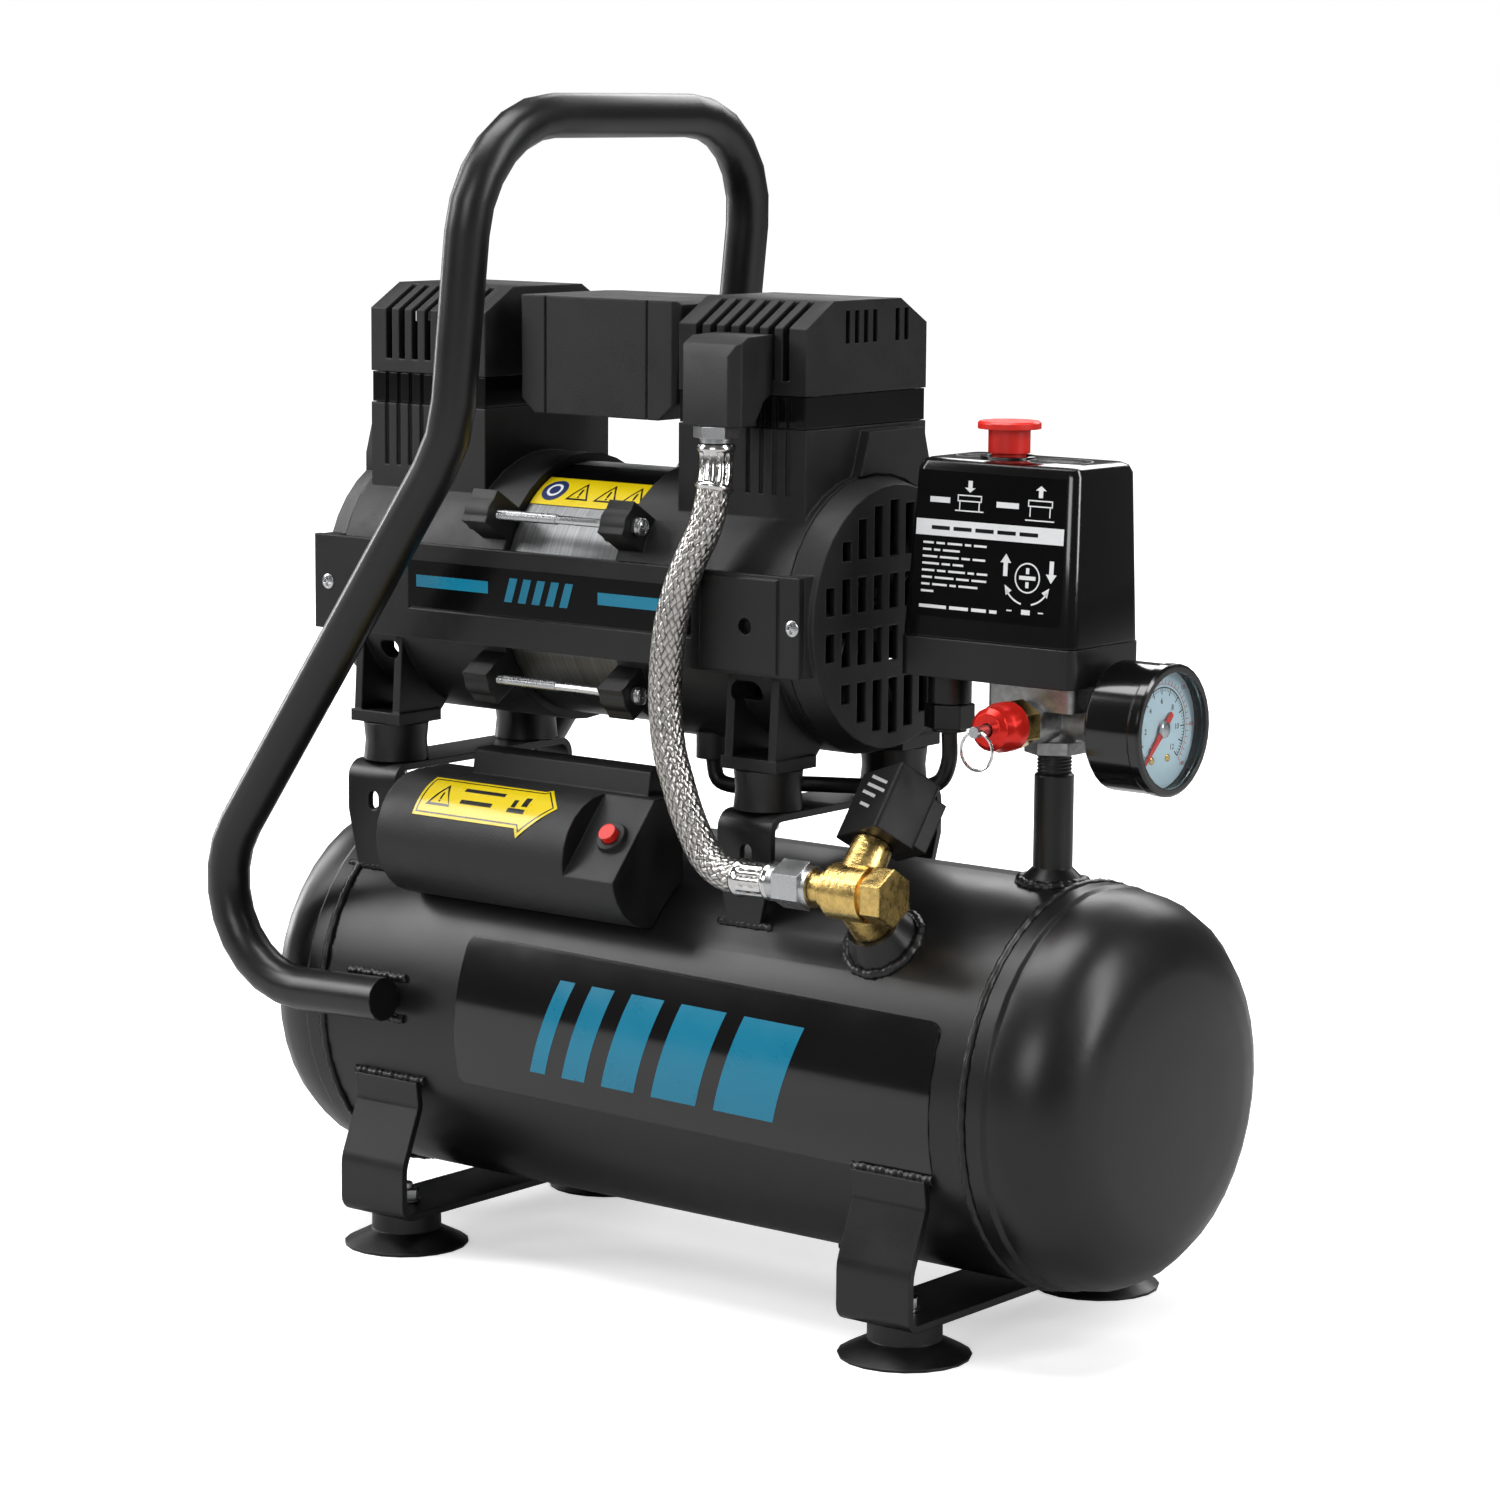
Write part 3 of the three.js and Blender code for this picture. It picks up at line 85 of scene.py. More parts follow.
def at(x, y, z):
    """A point in metres from mm along the tank from its middle, across it, and above the floor."""
    return Vector((MIDDLE_X + x * MM, y * MM, z * MM))


# -------------------------------------------------- sizes and colours that a user would change


def colour_prop(name, description, default):
    return bpy.props.FloatVectorProperty(
        name=name, description=description, default=default, size=3, min=0, max=1, subtype="COLOR"
    )


def length_prop(name, description, default):
    return bpy.props.FloatProperty(
        name=name, description=description, default=default, min=0, unit="LENGTH", precision=5
    )


class CompressorColours(bpy.types.PropertyGroup):
    coat: colour_prop("Powder coat", "Satin black of the tank and brackets", (0.006, 0.006, 0.0063))
    plastic: colour_prop("Housing plastic", "Black of the motor housings", (0.0055, 0.0055, 0.0058))
    gloss: colour_prop("Gloss black", "Black of the gauge case and decals", (0.0028, 0.0028, 0.003))
    rubber: colour_prop("Rubber", "Black of the feet and dampers", (0.004, 0.004, 0.004))
    steel: colour_prop("Plated steel", "Grey of the bolts, rods and hose nuts", (0.56, 0.57, 0.58))
    brass: colour_prop("Brass", "Yellow of the check valve and safety valve", (0.83, 0.58, 0.2))
    red: colour_prop("Red", "Red of the knob, reset button and safety cap", (0.78, 0.022, 0.014))
    blue: colour_prop("Stripe blue", "Blue of the bars on the decals", (0.0, 0.21, 0.35))
    yellow: colour_prop("Label yellow", "Yellow of the notice labels", (0.8, 0.6, 0.0))
    white: colour_prop("Print white", "White of the switch label's print", (0.82, 0.83, 0.84))
    dial: colour_prop("Dial", "Pale face of the gauge", (0.6, 0.79, 0.87))
    floor: colour_prop("Floor", "Pale studio floor", (0.9, 0.9, 0.9))


class CompressorSizes(bpy.types.PropertyGroup):
    corner: length_prop("Corner radius", "Rounding of moulded and cast corners", 0.9 * MM)
    decal: length_prop("Decal thickness", "Thickness of the labels", 0.12 * MM)
    print: length_prop("Print thickness", "Thickness of what is printed on a label", 0.05 * MM)
    bead: length_prop("Weld bead", "Radius of the weld beads", 1.6 * MM)
    hose: length_prop("Hose diameter", "Outside diameter of the braided hose", 13.6 * MM)
    cable: length_prop("Cable diameter", "Outside diameter of the motor cable", 6.4 * MM)


def colours():
    return bpy.context.scene.compressor_colours


def sizes():
    return bpy.context.scene.compressor_sizes


# -------------------------------------------------- shader node helpers and shared effects


DARK_TONE_AND_GAP_SHADE = 0.15  # how bright a pattern's gaps are, beside its crowns: painted shade between the braid's bundles and wires, darker sheets and lumps on other finishes
RUBBED_GREY = 0.006  # grey that even a near-black finish gains where it is rubbed
BUMP_STRENGTH = 0.5
COAT_ROUGHNESS = 0.08


def add(tree, kind, inputs=None, **props):
    """A new node. An input given a socket is linked to it, and any other value is set."""
    node = tree.nodes.new(kind)
    for key, value in props.items():
        setattr(node, key, value)
    for key, value in (inputs or {}).items():
        if isinstance(value, bpy.types.NodeSocket):
            tree.links.new(value, node.inputs[key])
        else:
            node.inputs[key].default_value = value
    return node


def maths(tree, operation, first, second=0.0):
    return add(tree, "ShaderNodeMath", {0: first, 1: second}, operation=operation).outputs[0]


def ramp(tree, value, start, end, to_start=0.0, to_end=1.0):
    """Value spread from one range to another and held at its ends."""
    inputs = {"Value": value, 1: start, 2: end, 3: to_start, 4: to_end}
    return add(tree, "ShaderNodeMapRange", inputs).outputs[0]


def blend_colours(tree, share, first, second):
    inputs = {0: share, 6: first, 7: second}
    return add(tree, "ShaderNodeMix", inputs, data_type="RGBA").outputs[2]


def shade(colour, factor):
    return (*(min(1.0, c * factor) for c in colour), 1.0)


def group_of(name, inputs, outputs):
    """An empty shader node group with named sockets, and its two end nodes."""
    group = bpy.data.node_groups.new(name, "ShaderNodeTree")
    for label, kind, value in inputs:
        socket = group.interface.new_socket(label, in_out="INPUT", socket_type=kind)
        socket.default_value = value
    for label, kind in outputs:
        group.interface.new_socket(label, in_out="OUTPUT", socket_type=kind)
    return group, add(group, "NodeGroupInput").outputs, add(group, "NodeGroupOutput").inputs


def surface_group():
    """Fine grain, slow mottling, rubbed edges and rounded corners, which every hard finish has."""
    name = "Moulded surface"
    if name in bpy.data.node_groups:
        return bpy.data.node_groups[name]
    values = (("Grain Scale", 1500.0), ("Mottle Scale", 35.0), ("Corner", 0.8 * MM), ("Breakup", 160.0))
    masks = [(label, "NodeSocketFloat") for label in ("Grain", "Mottle", "Wear")]
    group, given, result = group_of(
        name,
        [(label, "NodeSocketFloat", value) for label, value in values],
        masks + [("Normal", "NodeSocketVector")],
    )
    place = add(group, "ShaderNodeTexCoord").outputs["Object"]

    def noise(scale, detail):
        inputs = {"Vector": place, "Scale": scale, "Detail": detail, "Roughness": 0.6}
        return add(group, "ShaderNodeTexNoise", inputs).outputs["Fac"]

    rounded = add(group, "ShaderNodeBevel", {"Radius": given["Corner"]}, samples=4).outputs[0]
    flat = add(group, "ShaderNodeNewGeometry").outputs["Normal"]
    agreement = add(group, "ShaderNodeVectorMath", {0: rounded, 1: flat}, operation="DOT_PRODUCT")
    edges = ramp(group, agreement.outputs["Value"], 0.995, 0.9)
    patches = ramp(group, noise(given["Breakup"], 4.0), 0.36, 0.62)
    wear = maths(group, "MULTIPLY", edges, patches)
    for label, socket in (
        ("Grain", noise(given["Grain Scale"], 2.0)),
        ("Mottle", ramp(group, noise(given["Mottle Scale"], 5.0), 0.32, 0.68)),
        ("Wear", wear),
        ("Normal", rounded),
    ):
        group.links.new(socket, result[label])
    return group


def cast_skin_group():
    """Sand-cast skin: rounded lumps, and smaller pits between them."""
    name = "Cast skin"
    if name in bpy.data.node_groups:
        return bpy.data.node_groups[name]
    group, given, result = group_of(
        name,
        [("Lump Scale", "NodeSocketFloat", 420.0), ("Pit Scale", "NodeSocketFloat", 900.0)],
        [("Height", "NodeSocketFloat"), ("Tint", "NodeSocketFloat")],
    )
    place = add(group, "ShaderNodeTexCoord").outputs["Object"]
    lump_inputs = {"Vector": place, "Scale": given["Lump Scale"], "Detail": 3.0}
    lumps = add(group, "ShaderNodeTexNoise", lump_inputs).outputs[0]
    pit_inputs = {"Vector": place, "Scale": given["Pit Scale"]}
    pits = add(group, "ShaderNodeTexVoronoi", pit_inputs).outputs["Distance"]
    height = maths(group, "ADD", lumps, maths(group, "MULTIPLY", pits, 0.5))
    group.links.new(height, result["Height"])
    group.links.new(ramp(group, lumps, 0.4, 0.62, 0.78, 1.0), result["Tint"])
    return group


def cast_skin(tree):
    """Bump height and tint of a cast skin."""
    placed = add(tree, "ShaderNodeGroup", node_tree=cast_skin_group()).outputs
    return placed["Height"], placed["Tint"]


def laminations(tree):
    """Bump height and tint of thin steel sheets stacked along the motor."""
    sheets_per_metre = 1500.0
    place = add(tree, "ShaderNodeTexCoord").outputs["Object"]
    along = add(tree, "ShaderNodeSeparateXYZ", {0: place}).outputs[0]
    sheet = maths(tree, "MULTIPLY", along, sheets_per_metre)
    edge = maths(tree, "PINGPONG", sheet, 0.5)
    tone_inputs = {"W": maths(tree, "FLOOR", sheet), "Scale": 3.7}
    tone = add(tree, "ShaderNodeTexNoise", tone_inputs, noise_dimensions="1D").outputs[0]
    return ramp(tree, edge, 0.0, 0.3), ramp(tree, tone, 0.3, 0.7, 0.6, 1.0)


def braid_weave(tree):
    """Bump height and tint of flat bundles of wire that pass over and under each other, the tint being
    painted shade along each bundle's edges and between its wires. The two axes of the map count the bundles
    each way."""
    wires_per_bundle = 4.0
    bundles = add(tree, "ShaderNodeUVMap", uv_map="Bundles").outputs[0]
    parts = add(tree, "ShaderNodeSeparateXYZ", {0: bundles}).outputs[:2]
    cells = maths(tree, "ADD", *(maths(tree, "FLOOR", part) for part in parts))
    over = ramp(tree, maths(tree, "PINGPONG", cells, 1.0), 0.49, 0.51)
    shown = []
    for count in (1.0, wires_per_bundle):
        waves = [maths(tree, "PINGPONG", maths(tree, "MULTIPLY", part, count), 0.5) for part in parts]
        shown.append(add(tree, "ShaderNodeMix", {0: over, 2: waves[0], 3: waves[1]}).outputs[0])
    bundle, wire = shown
    crown = ramp(tree, bundle, 0.0, 0.3)
    height = maths(tree, "ADD", crown, maths(tree, "MULTIPLY", wire, 0.25))
    # The tint is painted shade: dark where a bundle dives under its neighbour, and a little dark between its
    # wires.
    return height, maths(tree, "MULTIPLY", crown, ramp(tree, wire, 0.0, 0.3, 0.75, 1.0))


def finish(name, colour, roughness, metallic=0.0, coat=0.0, specular=0.5, grain=(1500.0, 0.05),
           mottle=(35.0, 0.14, 0.05), wear=(2.0, 0.4), corner=None, pattern=None, pattern_depth=0.1):
    """A hard finish. grain is its scale and depth in mm, mottle its scale and its change of colour and of
    roughness, and wear how many times lighter the rubbed edges are and how much of them shows."""
    if name in bpy.data.materials:
        return bpy.data.materials[name]
    grain_scale, depth = grain
    mottle_scale, tone_change, roughness_change = mottle
    lightening, wear_share = wear
    material = bpy.data.materials.new(name)
    material.use_nodes = True
    tree = material.node_tree
    shader = tree.nodes["Principled BSDF"]
    surface_inputs = {
        "Grain Scale": grain_scale,
        "Mottle Scale": mottle_scale,
        "Corner": sizes().corner if corner is None else corner,
    }
    surface = add(tree, "ShaderNodeGroup", node_tree=surface_group())
    for label, value in surface_inputs.items():
        surface.inputs[label].default_value = value
    mottled = surface.outputs["Mottle"]
    base = blend_colours(tree, mottled, shade(colour, 1 - tone_change), shade(colour, 1 + tone_change))
    height = surface.outputs["Grain"]
    if pattern:
        height, tint = pattern(tree)
        # A low tint darkens the colour: painted shade in a braid's gaps, and darker sheets and lumps on the
        # other patterns.
        base = blend_colours(tree, tint, shade(colour, DARK_TONE_AND_GAP_SHADE), base)
        height = maths(tree, "ADD", height, maths(tree, "MULTIPLY", surface.outputs["Grain"], 0.25))
        depth = pattern_depth
    rubbed = maths(tree, "MULTIPLY", surface.outputs["Wear"], wear_share)
    lighter = tuple(min(1.0, c * lightening + (lightening - 1) * RUBBED_GREY) for c in colour)
    base = blend_colours(tree, rubbed, base, shade(lighter, 1.0))
    rough = ramp(tree, mottled, 0.0, 1.0, roughness - roughness_change, roughness + roughness_change)
    bump_inputs = {
        "Strength": BUMP_STRENGTH,
        "Distance": depth * MM,
        "Height": height,
        "Normal": surface.outputs["Normal"],
    }
    bump = add(tree, "ShaderNodeBump", bump_inputs)
    tree.links.new(base, shader.inputs["Base Color"])
    tree.links.new(rough, shader.inputs["Roughness"])
    tree.links.new(bump.outputs[0], shader.inputs["Normal"])
    shader.inputs["Metallic"].default_value = metallic
    shader.inputs["Coat Weight"].default_value = coat
    shader.inputs["Coat Roughness"].default_value = COAT_ROUGHNESS
    shader.inputs["Specular IOR Level"].default_value = specular
    return material


# -------------------------------------------------- finishes


def powder_coat():
    return finish("Satin powder coat", colours().coat, 0.34, grain=(650.0, 0.05), mottle=(28.0, 0.1, 0.035),
                  wear=(1.6, 0.35))


def housing_plastic():
    return finish("Spark-textured plastic", colours().plastic, 0.5, grain=(1300.0, 0.14),
                  mottle=(60.0, 0.15, 0.06), wear=(2.4, 0.55), corner=1.1 * MM)


def smooth_plastic():
    return finish("Smooth black plastic", colours().plastic, 0.33, grain=(1800.0, 0.03),
                  mottle=(45.0, 0.1, 0.04), wear=(2.2, 0.4), corner=1.0 * MM)


def gloss_black():
    return finish("Gloss black", colours().gloss, 0.13, coat=0.4, grain=(900.0, 0.006),
                  mottle=(30.0, 0.1, 0.025), wear=(1.8, 0.25))


def decal_film():
    return finish("Decal film", colours().gloss, 0.2, grain=(900.0, 0.006), mottle=(30.0, 0.1, 0.025),
                  wear=(1.8, 0.25), corner=0.05 * MM, specular=0.16)


def moulded_epoxy():
    return finish("Moulded epoxy", colours().plastic, 0.42, grain=(1500.0, 0.05), mottle=(45.0, 0.1, 0.04),
                  wear=(2.2, 0.4), corner=1.0 * MM, specular=0.22)


def black_rubber():
    return finish("Moulded rubber", colours().rubber, 0.4, grain=(1100.0, 0.06), mottle=(90.0, 0.2, 0.07),
                  wear=(1.8, 0.3))


def plated_steel():
    return finish("Zinc-plated steel", colours().steel, 0.28, metallic=1.0, grain=(2200.0, 0.01),
                  mottle=(70.0, 0.08, 0.05), wear=(1.1, 0.1), corner=0.3 * MM)


def bright_steel():
    return finish("Bright ring steel", (0.72, 0.71, 0.7), 0.16, metallic=1.0, grain=(2500.0, 0.01),
                  mottle=(300.0, 0.1, 0.05), wear=(1.2, 0.3), corner=0.2 * MM)


def laminated_steel():
    return finish("Laminated steel", (0.27, 0.275, 0.28), 0.42, metallic=1.0, mottle=(40.0, 0.05, 0.03),
                  wear=(1.2, 0.2), pattern=laminations, pattern_depth=0.04)


def cast_brass():
    return finish("Cast brass", colours().brass, 0.27, metallic=1.0, mottle=(160.0, 0.12, 0.08),
                  wear=(1.25, 0.6), pattern=cast_skin, pattern_depth=0.16)


def turned_brass():
    return finish("Turned brass", colours().brass, 0.2, metallic=1.0, grain=(2200.0, 0.02),
                  mottle=(200.0, 0.12, 0.06), wear=(1.25, 0.5), corner=0.4 * MM)


def cast_alloy():
    return finish("Cast zinc alloy", (0.4, 0.4, 0.4), 0.4, metallic=1.0, mottle=(70.0, 0.08, 0.05),
                  wear=(1.4, 0.4), pattern=cast_skin, pattern_depth=0.08)


def woven_steel():
    return finish("Woven steel braid", (0.66, 0.64, 0.61), 0.3, metallic=1.0, mottle=(90.0, 0.08, 0.04),
                  wear=(1.0, 0.0), corner=0.1 * MM, pattern=braid_weave, pattern_depth=0.3)


def red_plastic():
    return finish("Red plastic", colours().red, 0.34, grain=(1600.0, 0.03), mottle=(80.0, 0.1, 0.05),
                  wear=(1.2, 0.4), corner=0.8 * MM)


def red_anodised():
    return finish("Red anodised aluminium", colours().red, 0.22, metallic=0.55, grain=(2000.0, 0.02),
                  mottle=(110.0, 0.12, 0.06), wear=(1.3, 0.5), corner=0.5 * MM)


def printed(name, colour, roughness=0.3):
    """Ink or film on a decal."""
    return finish(name, colour, roughness, coat=0.15, grain=(1400.0, 0.01), mottle=(50.0, 0.04, 0.05),
                  wear=(1.0, 0.0), corner=0.05 * MM)


def blue_print():
    return printed("Blue print", colours().blue)


def black_print():
    return printed("Black print", colours().gloss, 0.25)


def white_print():
    return printed("White print", colours().white)


def grey_print():
    return printed("Grey print", (0.4, 0.4, 0.41))


def yellow_label():
    return printed("Yellow label", colours().yellow)


def dial_paint():
    return finish("Dial enamel", colours().dial, 0.4, grain=(1500.0, 0.01), mottle=(60.0, 0.03, 0.04),
                  wear=(1.0, 0.0), corner=0.1 * MM)


def clear_lens():
    """Clear plastic window with faint polishing haze."""
    if "Clear lens" in bpy.data.materials:
        return bpy.data.materials["Clear lens"]
    material = bpy.data.materials.new("Clear lens")
    material.use_nodes = True
    tree = material.node_tree
    shader = tree.nodes["Principled BSDF"]
    place = add(tree, "ShaderNodeTexCoord").outputs["Object"]
    haze = add(tree, "ShaderNodeTexNoise", {"Vector": place, "Scale": 260.0, "Detail": 4.0}).outputs[0]
    tree.links.new(ramp(tree, haze, 0.3, 0.7, 0.02, 0.07), shader.inputs["Roughness"])
    shader.inputs["Base Color"].default_value = (0.97, 0.99, 1.0, 1.0)
    shader.inputs["Transmission Weight"].default_value = 1.0
    shader.inputs["IOR"].default_value = 1.2
    return material


def studio_floor():
    """A pale sweep, lit from below where it is looked at and dimmer where it lights the object."""
    material = bpy.data.materials.new("Studio floor")
    material.use_nodes = True
    tree = material.node_tree
    shader = tree.nodes["Principled BSDF"]
    direct = add(tree, "ShaderNodeLightPath").outputs["Is Camera Ray"]
    place = add(tree, "ShaderNodeTexCoord").outputs["Object"]
    speckle = add(tree, "ShaderNodeTexNoise", {"Vector": place, "Scale": 40.0, "Detail": 3.0}).outputs[0]
    seen = blend_colours(tree, direct, shade(colours().floor, 0.55), shade(colours().floor, 1.0))
    tree.links.new(seen, shader.inputs["Base Color"])
    tree.links.new(ramp(tree, speckle, 0.3, 0.7, 0.7, 0.85), shader.inputs["Roughness"])
    away = add(tree, "ShaderNodeVectorMath", {0: place}, operation="LENGTH").outputs["Value"]
    near_tone, far_tone, dark = ((grey, grey, grey, 1.0) for grey in (0.5, 1.0, 0.0))
    sweep_tone = blend_colours(tree, ramp(tree, away, 0.5, 2.2), near_tone, far_tone)
    glow = blend_colours(tree, direct, dark, sweep_tone)
    tree.links.new(glow, shader.inputs["Emission Color"])
    shader.inputs["Emission Strength"].default_value = 1.0
    return material


# -------------------------------------------------- mesh helpers


SHARP_FACETS = 31  # degrees between two facets that meet at a real edge
DECAL_EDGE = 25.0
SAME_CORNER = 0.002 * MM


def smooth_faces():
    """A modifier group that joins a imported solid's facets, smooths its round faces and keeps its edges."""
    name = "Smooth round faces"
    if name in bpy.data.node_groups:
        return bpy.data.node_groups[name]
    group = bpy.data.node_groups.new(name, "GeometryNodeTree")
    group.is_modifier = True
    for side in ("INPUT", "OUTPUT"):
        group.interface.new_socket("Geometry", in_out=side, socket_type="NodeSocketGeometry")
    angle = add(group, "GeometryNodeInputMeshEdgeAngle").outputs["Unsigned Angle"]
    limit = {0: angle, 1: math.radians(SHARP_FACETS)}
    sharp = add(group, "FunctionNodeCompare", limit, operation="GREATER_THAN").outputs[0]
    geometry = add(group, "NodeGroupInput").outputs[0]
    for kind, inputs, props in (
        ("GeometryNodeRemoveAttribute", {"Name": "custom_normal"}, {}),
        ("GeometryNodeMergeByDistance", {"Distance": SAME_CORNER}, {}),
        ("GeometryNodeSetShadeSmooth", {2: True}, {"domain": "FACE"}),
        ("GeometryNodeSetShadeSmooth", {1: sharp, 2: False}, {"domain": "EDGE"}),
    ):
        geometry = add(group, kind, {0: geometry, **inputs}, **props).outputs[0]
    group.links.new(geometry, add(group, "NodeGroupOutput").inputs[0])
    return group


def paint(node, material):
    """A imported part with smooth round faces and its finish."""
    item = NODES[node]
    item.modifiers.new("Smooth", "NODES").node_group = smooth_faces()
    for material_slot in item.material_slots:
        material_slot.material = material


def piece(name, mesh, material, body=ROOT, place=None, sharp=35.0):
    """A new piece of the object from a mesh or bmesh."""
    if isinstance(mesh, bmesh.types.BMesh):
        bmesh.ops.recalc_face_normals(mesh, faces=mesh.faces)
        made = bpy.data.meshes.new(name)
        mesh.to_mesh(made)
        mesh.free()
        mesh = made
        mesh.shade_smooth()
        mesh.set_sharp_from_angle(angle=math.radians(sharp))
    item = bpy.data.objects.new(name, mesh)
    bpy.context.scene.collection.objects.link(item)
    if not mesh.materials:
        mesh.materials.append(material)
    if place:
        item.matrix_world = place
    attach(item, body)
    return item


def frame_at(point, direction):
    """A placement whose Z looks along direction, with Y near the frame's up."""
    z = Vector(direction).normalized()
    y = Vector((0, 0, 1))
    if abs(y.dot(z)) > 0.95:
        y = Vector((0, 1, 0))
    x = y.cross(z).normalized()
    y = z.cross(x)
    return Matrix.Translation(point) @ Matrix((x, y, z)).transposed().to_4x4()


def turns(count):
    """The angles of evenly spaced points round a circle."""
    return [2 * math.pi * i / count for i in range(count)]


def circle(target, sides, radius, height):
    """A ring of corners about Z. radius is in mm, or gives it for an angle."""
    corners = []
    for angle in turns(sides):
        r = radius(angle) if callable(radius) else radius
        corners.append(target.verts.new((r * MM * math.cos(angle), r * MM * math.sin(angle), height * MM)))
    return corners


def skin(target, rings, looped=False):
    """Faces between neighbouring rings of corners, and a flat face at each end unless the rings close up."""
    for lower, upper in zip(rings, rings[1:] + (rings[:1] if looped else [])):
        for i in range(len(lower)):
            j = (i + 1) % len(lower)
            target.faces.new((lower[i], lower[j], upper[j], upper[i]))
    if not looped:
        target.faces.new(list(reversed(rings[0])))
        target.faces.new(rings[-1])


def lathe(target, profile, sides=32, place=None, hollow=False):
    """Turns an outline of (radius, height) in mm. A hollow one closes up on itself and leaves a bore."""
    rings = [circle(target, sides, radius, height) for radius, height in profile]
    skin(target, rings, hollow)
    if place:
        bmesh.ops.transform(target, matrix=place, verts=[v for ring in rings for v in ring])


def sweep(target, path, radius, sides=12, closed=False):
    """A tube along points. radius is in metres, or gives it for a share of the way and an angle."""
    points = [Vector(p) for p in path]
    count = len(points)
    tangents = []
    for i, point in enumerate(points):
        before = points[(i - 1) % count] if closed or i > 0 else point
        after = points[(i + 1) % count] if closed or i < count - 1 else point
        tangents.append((after - before).normalized())
    side = tangents[0].orthogonal().normalized()
    rings = []
    for i, (point, tangent) in enumerate(zip(points, tangents)):
        side = (side - tangent * side.dot(tangent)).normalized()
        over = tangent.cross(side)
        ring = []
        for angle in turns(sides):
            r = radius(i / (count - 1), angle) if callable(radius) else radius
            ring.append(target.verts.new(point + (side * math.cos(angle) + over * math.sin(angle)) * r))
        rings.append(ring)
    skin(target, rings, closed)
    return rings


def face_of(node, toward):
    """Middle, outward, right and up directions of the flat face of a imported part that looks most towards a
    direction."""
    toward = Vector(toward).normalized()
    groups = {}
    mesh = NODES[node].data
    for polygon in mesh.polygons:
        if polygon.normal.dot(toward) > 0.7:
            offset = round(polygon.normal.dot(polygon.center) / (0.2 * MM))
            key = (*(round(c * 40) for c in polygon.normal), offset)
            groups.setdefault(key, []).append(polygon)
    flat = max(groups.values(), key=lambda ps: sum(p.area for p in ps) * ps[0].normal.dot(toward) ** 4)
    normal = flat[0].normal.copy()
    up = Vector((0, 1, 0)) if abs(normal.z) > 0.95 else Vector((0, 0, 1))
    up = (up - normal * up.dot(normal)).normalized()
    right = up.cross(normal)
    corners = [mesh.vertices[i].co for p in flat for i in p.vertices]
    middle = normal * corners[0].dot(normal)
    for direction in (right, up):
        reaches = [corner.dot(direction) for corner in corners]
        middle += direction * (min(reaches) + max(reaches)) / 2
    return {"middle": middle, "normal": normal, "right": right, "up": up}


def on_face(face, move=(0.0, 0.0)):
    """Maps (u, v, height) in mm to a point over a flat face, from its middle moved by mm."""

    def place(u, v, w):
        across, along = u + move[0], v + move[1]
        return face["middle"] + (face["right"] * across + face["up"] * along + face["normal"] * w) * MM

    return place


def on_round(axis_point, radius, angle, turn=0.0):
    """Maps (u, v, height) in mm to a point over a round face whose axis runs along X, from a middle that is
    degrees up its front. The outlines may be turned by degrees."""
    c, s = math.cos(math.radians(turn)), math.sin(math.radians(turn))

    def place(u, v, w):
        across, along = u * c - v * s, u * s + v * c
        lift = math.radians(angle) + along * MM / radius
        r = radius + w * MM
        return axis_point + Vector((across * MM, -r * math.cos(lift), r * math.sin(lift)))

    return place


def extrude(target, place, lift, thick):
    """Thickens flat faces and maps them over a surface, from a height in mm to another."""
    raised = bmesh.ops.extrude_face_region(target, geom=list(target.faces))["geom"]
    top = {v for v in raised if isinstance(v, bmesh.types.BMVert)}
    for vert in target.verts:
        vert.co = place(vert.co.x, vert.co.y, lift + (thick if vert in top else 0.0))


def emboss(name, outlines, place, lift, thick, material, step=0.0):
    """Flat shapes of a given thickness, laid over a surface and cut across at each step. Sizes are in mm."""
    target = bmesh.new()
    for outline in outlines:
        target.faces.new([target.verts.new((u, v, 0.0)) for u, v in outline])
    if step:
        reaches = [v for outline in outlines for _, v in outline]
        cut = min(reaches) + step
        while cut < max(reaches):
            geometry = [*target.verts, *target.edges, *target.faces]
            bmesh.ops.bisect_plane(target, geom=geometry, plane_co=(0, cut, 0), plane_no=(0, 1, 0))
            cut += step
    extrude(target, place, lift, thick)
    return piece(name, target, material, sharp=DECAL_EDGE)


# -------------------------------------------------- flat outlines, in mm


def box_shape(u, v, width, height, radius=0.0, skew=0.0):
    """A rectangle about (u, v), with round corners or leaning sides."""
    corners = []
    for sx, sy, start in ((1, 1, 0), (-1, 1, 90), (-1, -1, 180), (1, -1, 270)):
        cx, cy = u + sx * (width / 2 - radius), v + sy * (height / 2 - radius)
        steps = 5 if radius else 1
        for i in range(steps):
            angle = math.radians(start + 90 * i / max(1, steps - 1))
            x, y = cx + radius * math.cos(angle), cy + radius * math.sin(angle)
            corners.append((x + skew * (y - v), y))
    return corners


def disc_shape(u, v, radius, sides=40):
    return [(u + radius * math.cos(angle), v + radius * math.sin(angle)) for angle in turns(sides)]


def ring_shapes(u, v, outer, inner, start=0.0, end=360.0, steps=36):
    """A flat ring or part of one, as a run of four-sided pieces."""
    made = []
    for i in range(steps):
        a, b = (math.radians(start + (end - start) * k / steps) for k in (i, i + 1))
        ring = [(outer, a), (outer, b), (inner, b), (inner, a)]
        made.append([(u + r * math.cos(t), v + r * math.sin(t)) for r, t in ring])
    return made


def arrow_shape(u, v, width, height, up=True):
    """An upright arrow with a wide head."""
    s = 1 if up else -1
    half, stem, neck = width / 2, width / 5, height * 0.1
    points = [(-stem, -height / 2), (stem, -height / 2), (stem, neck), (half, neck), (0, height / 2),
              (-half, neck), (-stem, neck)]
    return [(u + x, v + s * y) for x, y in points]


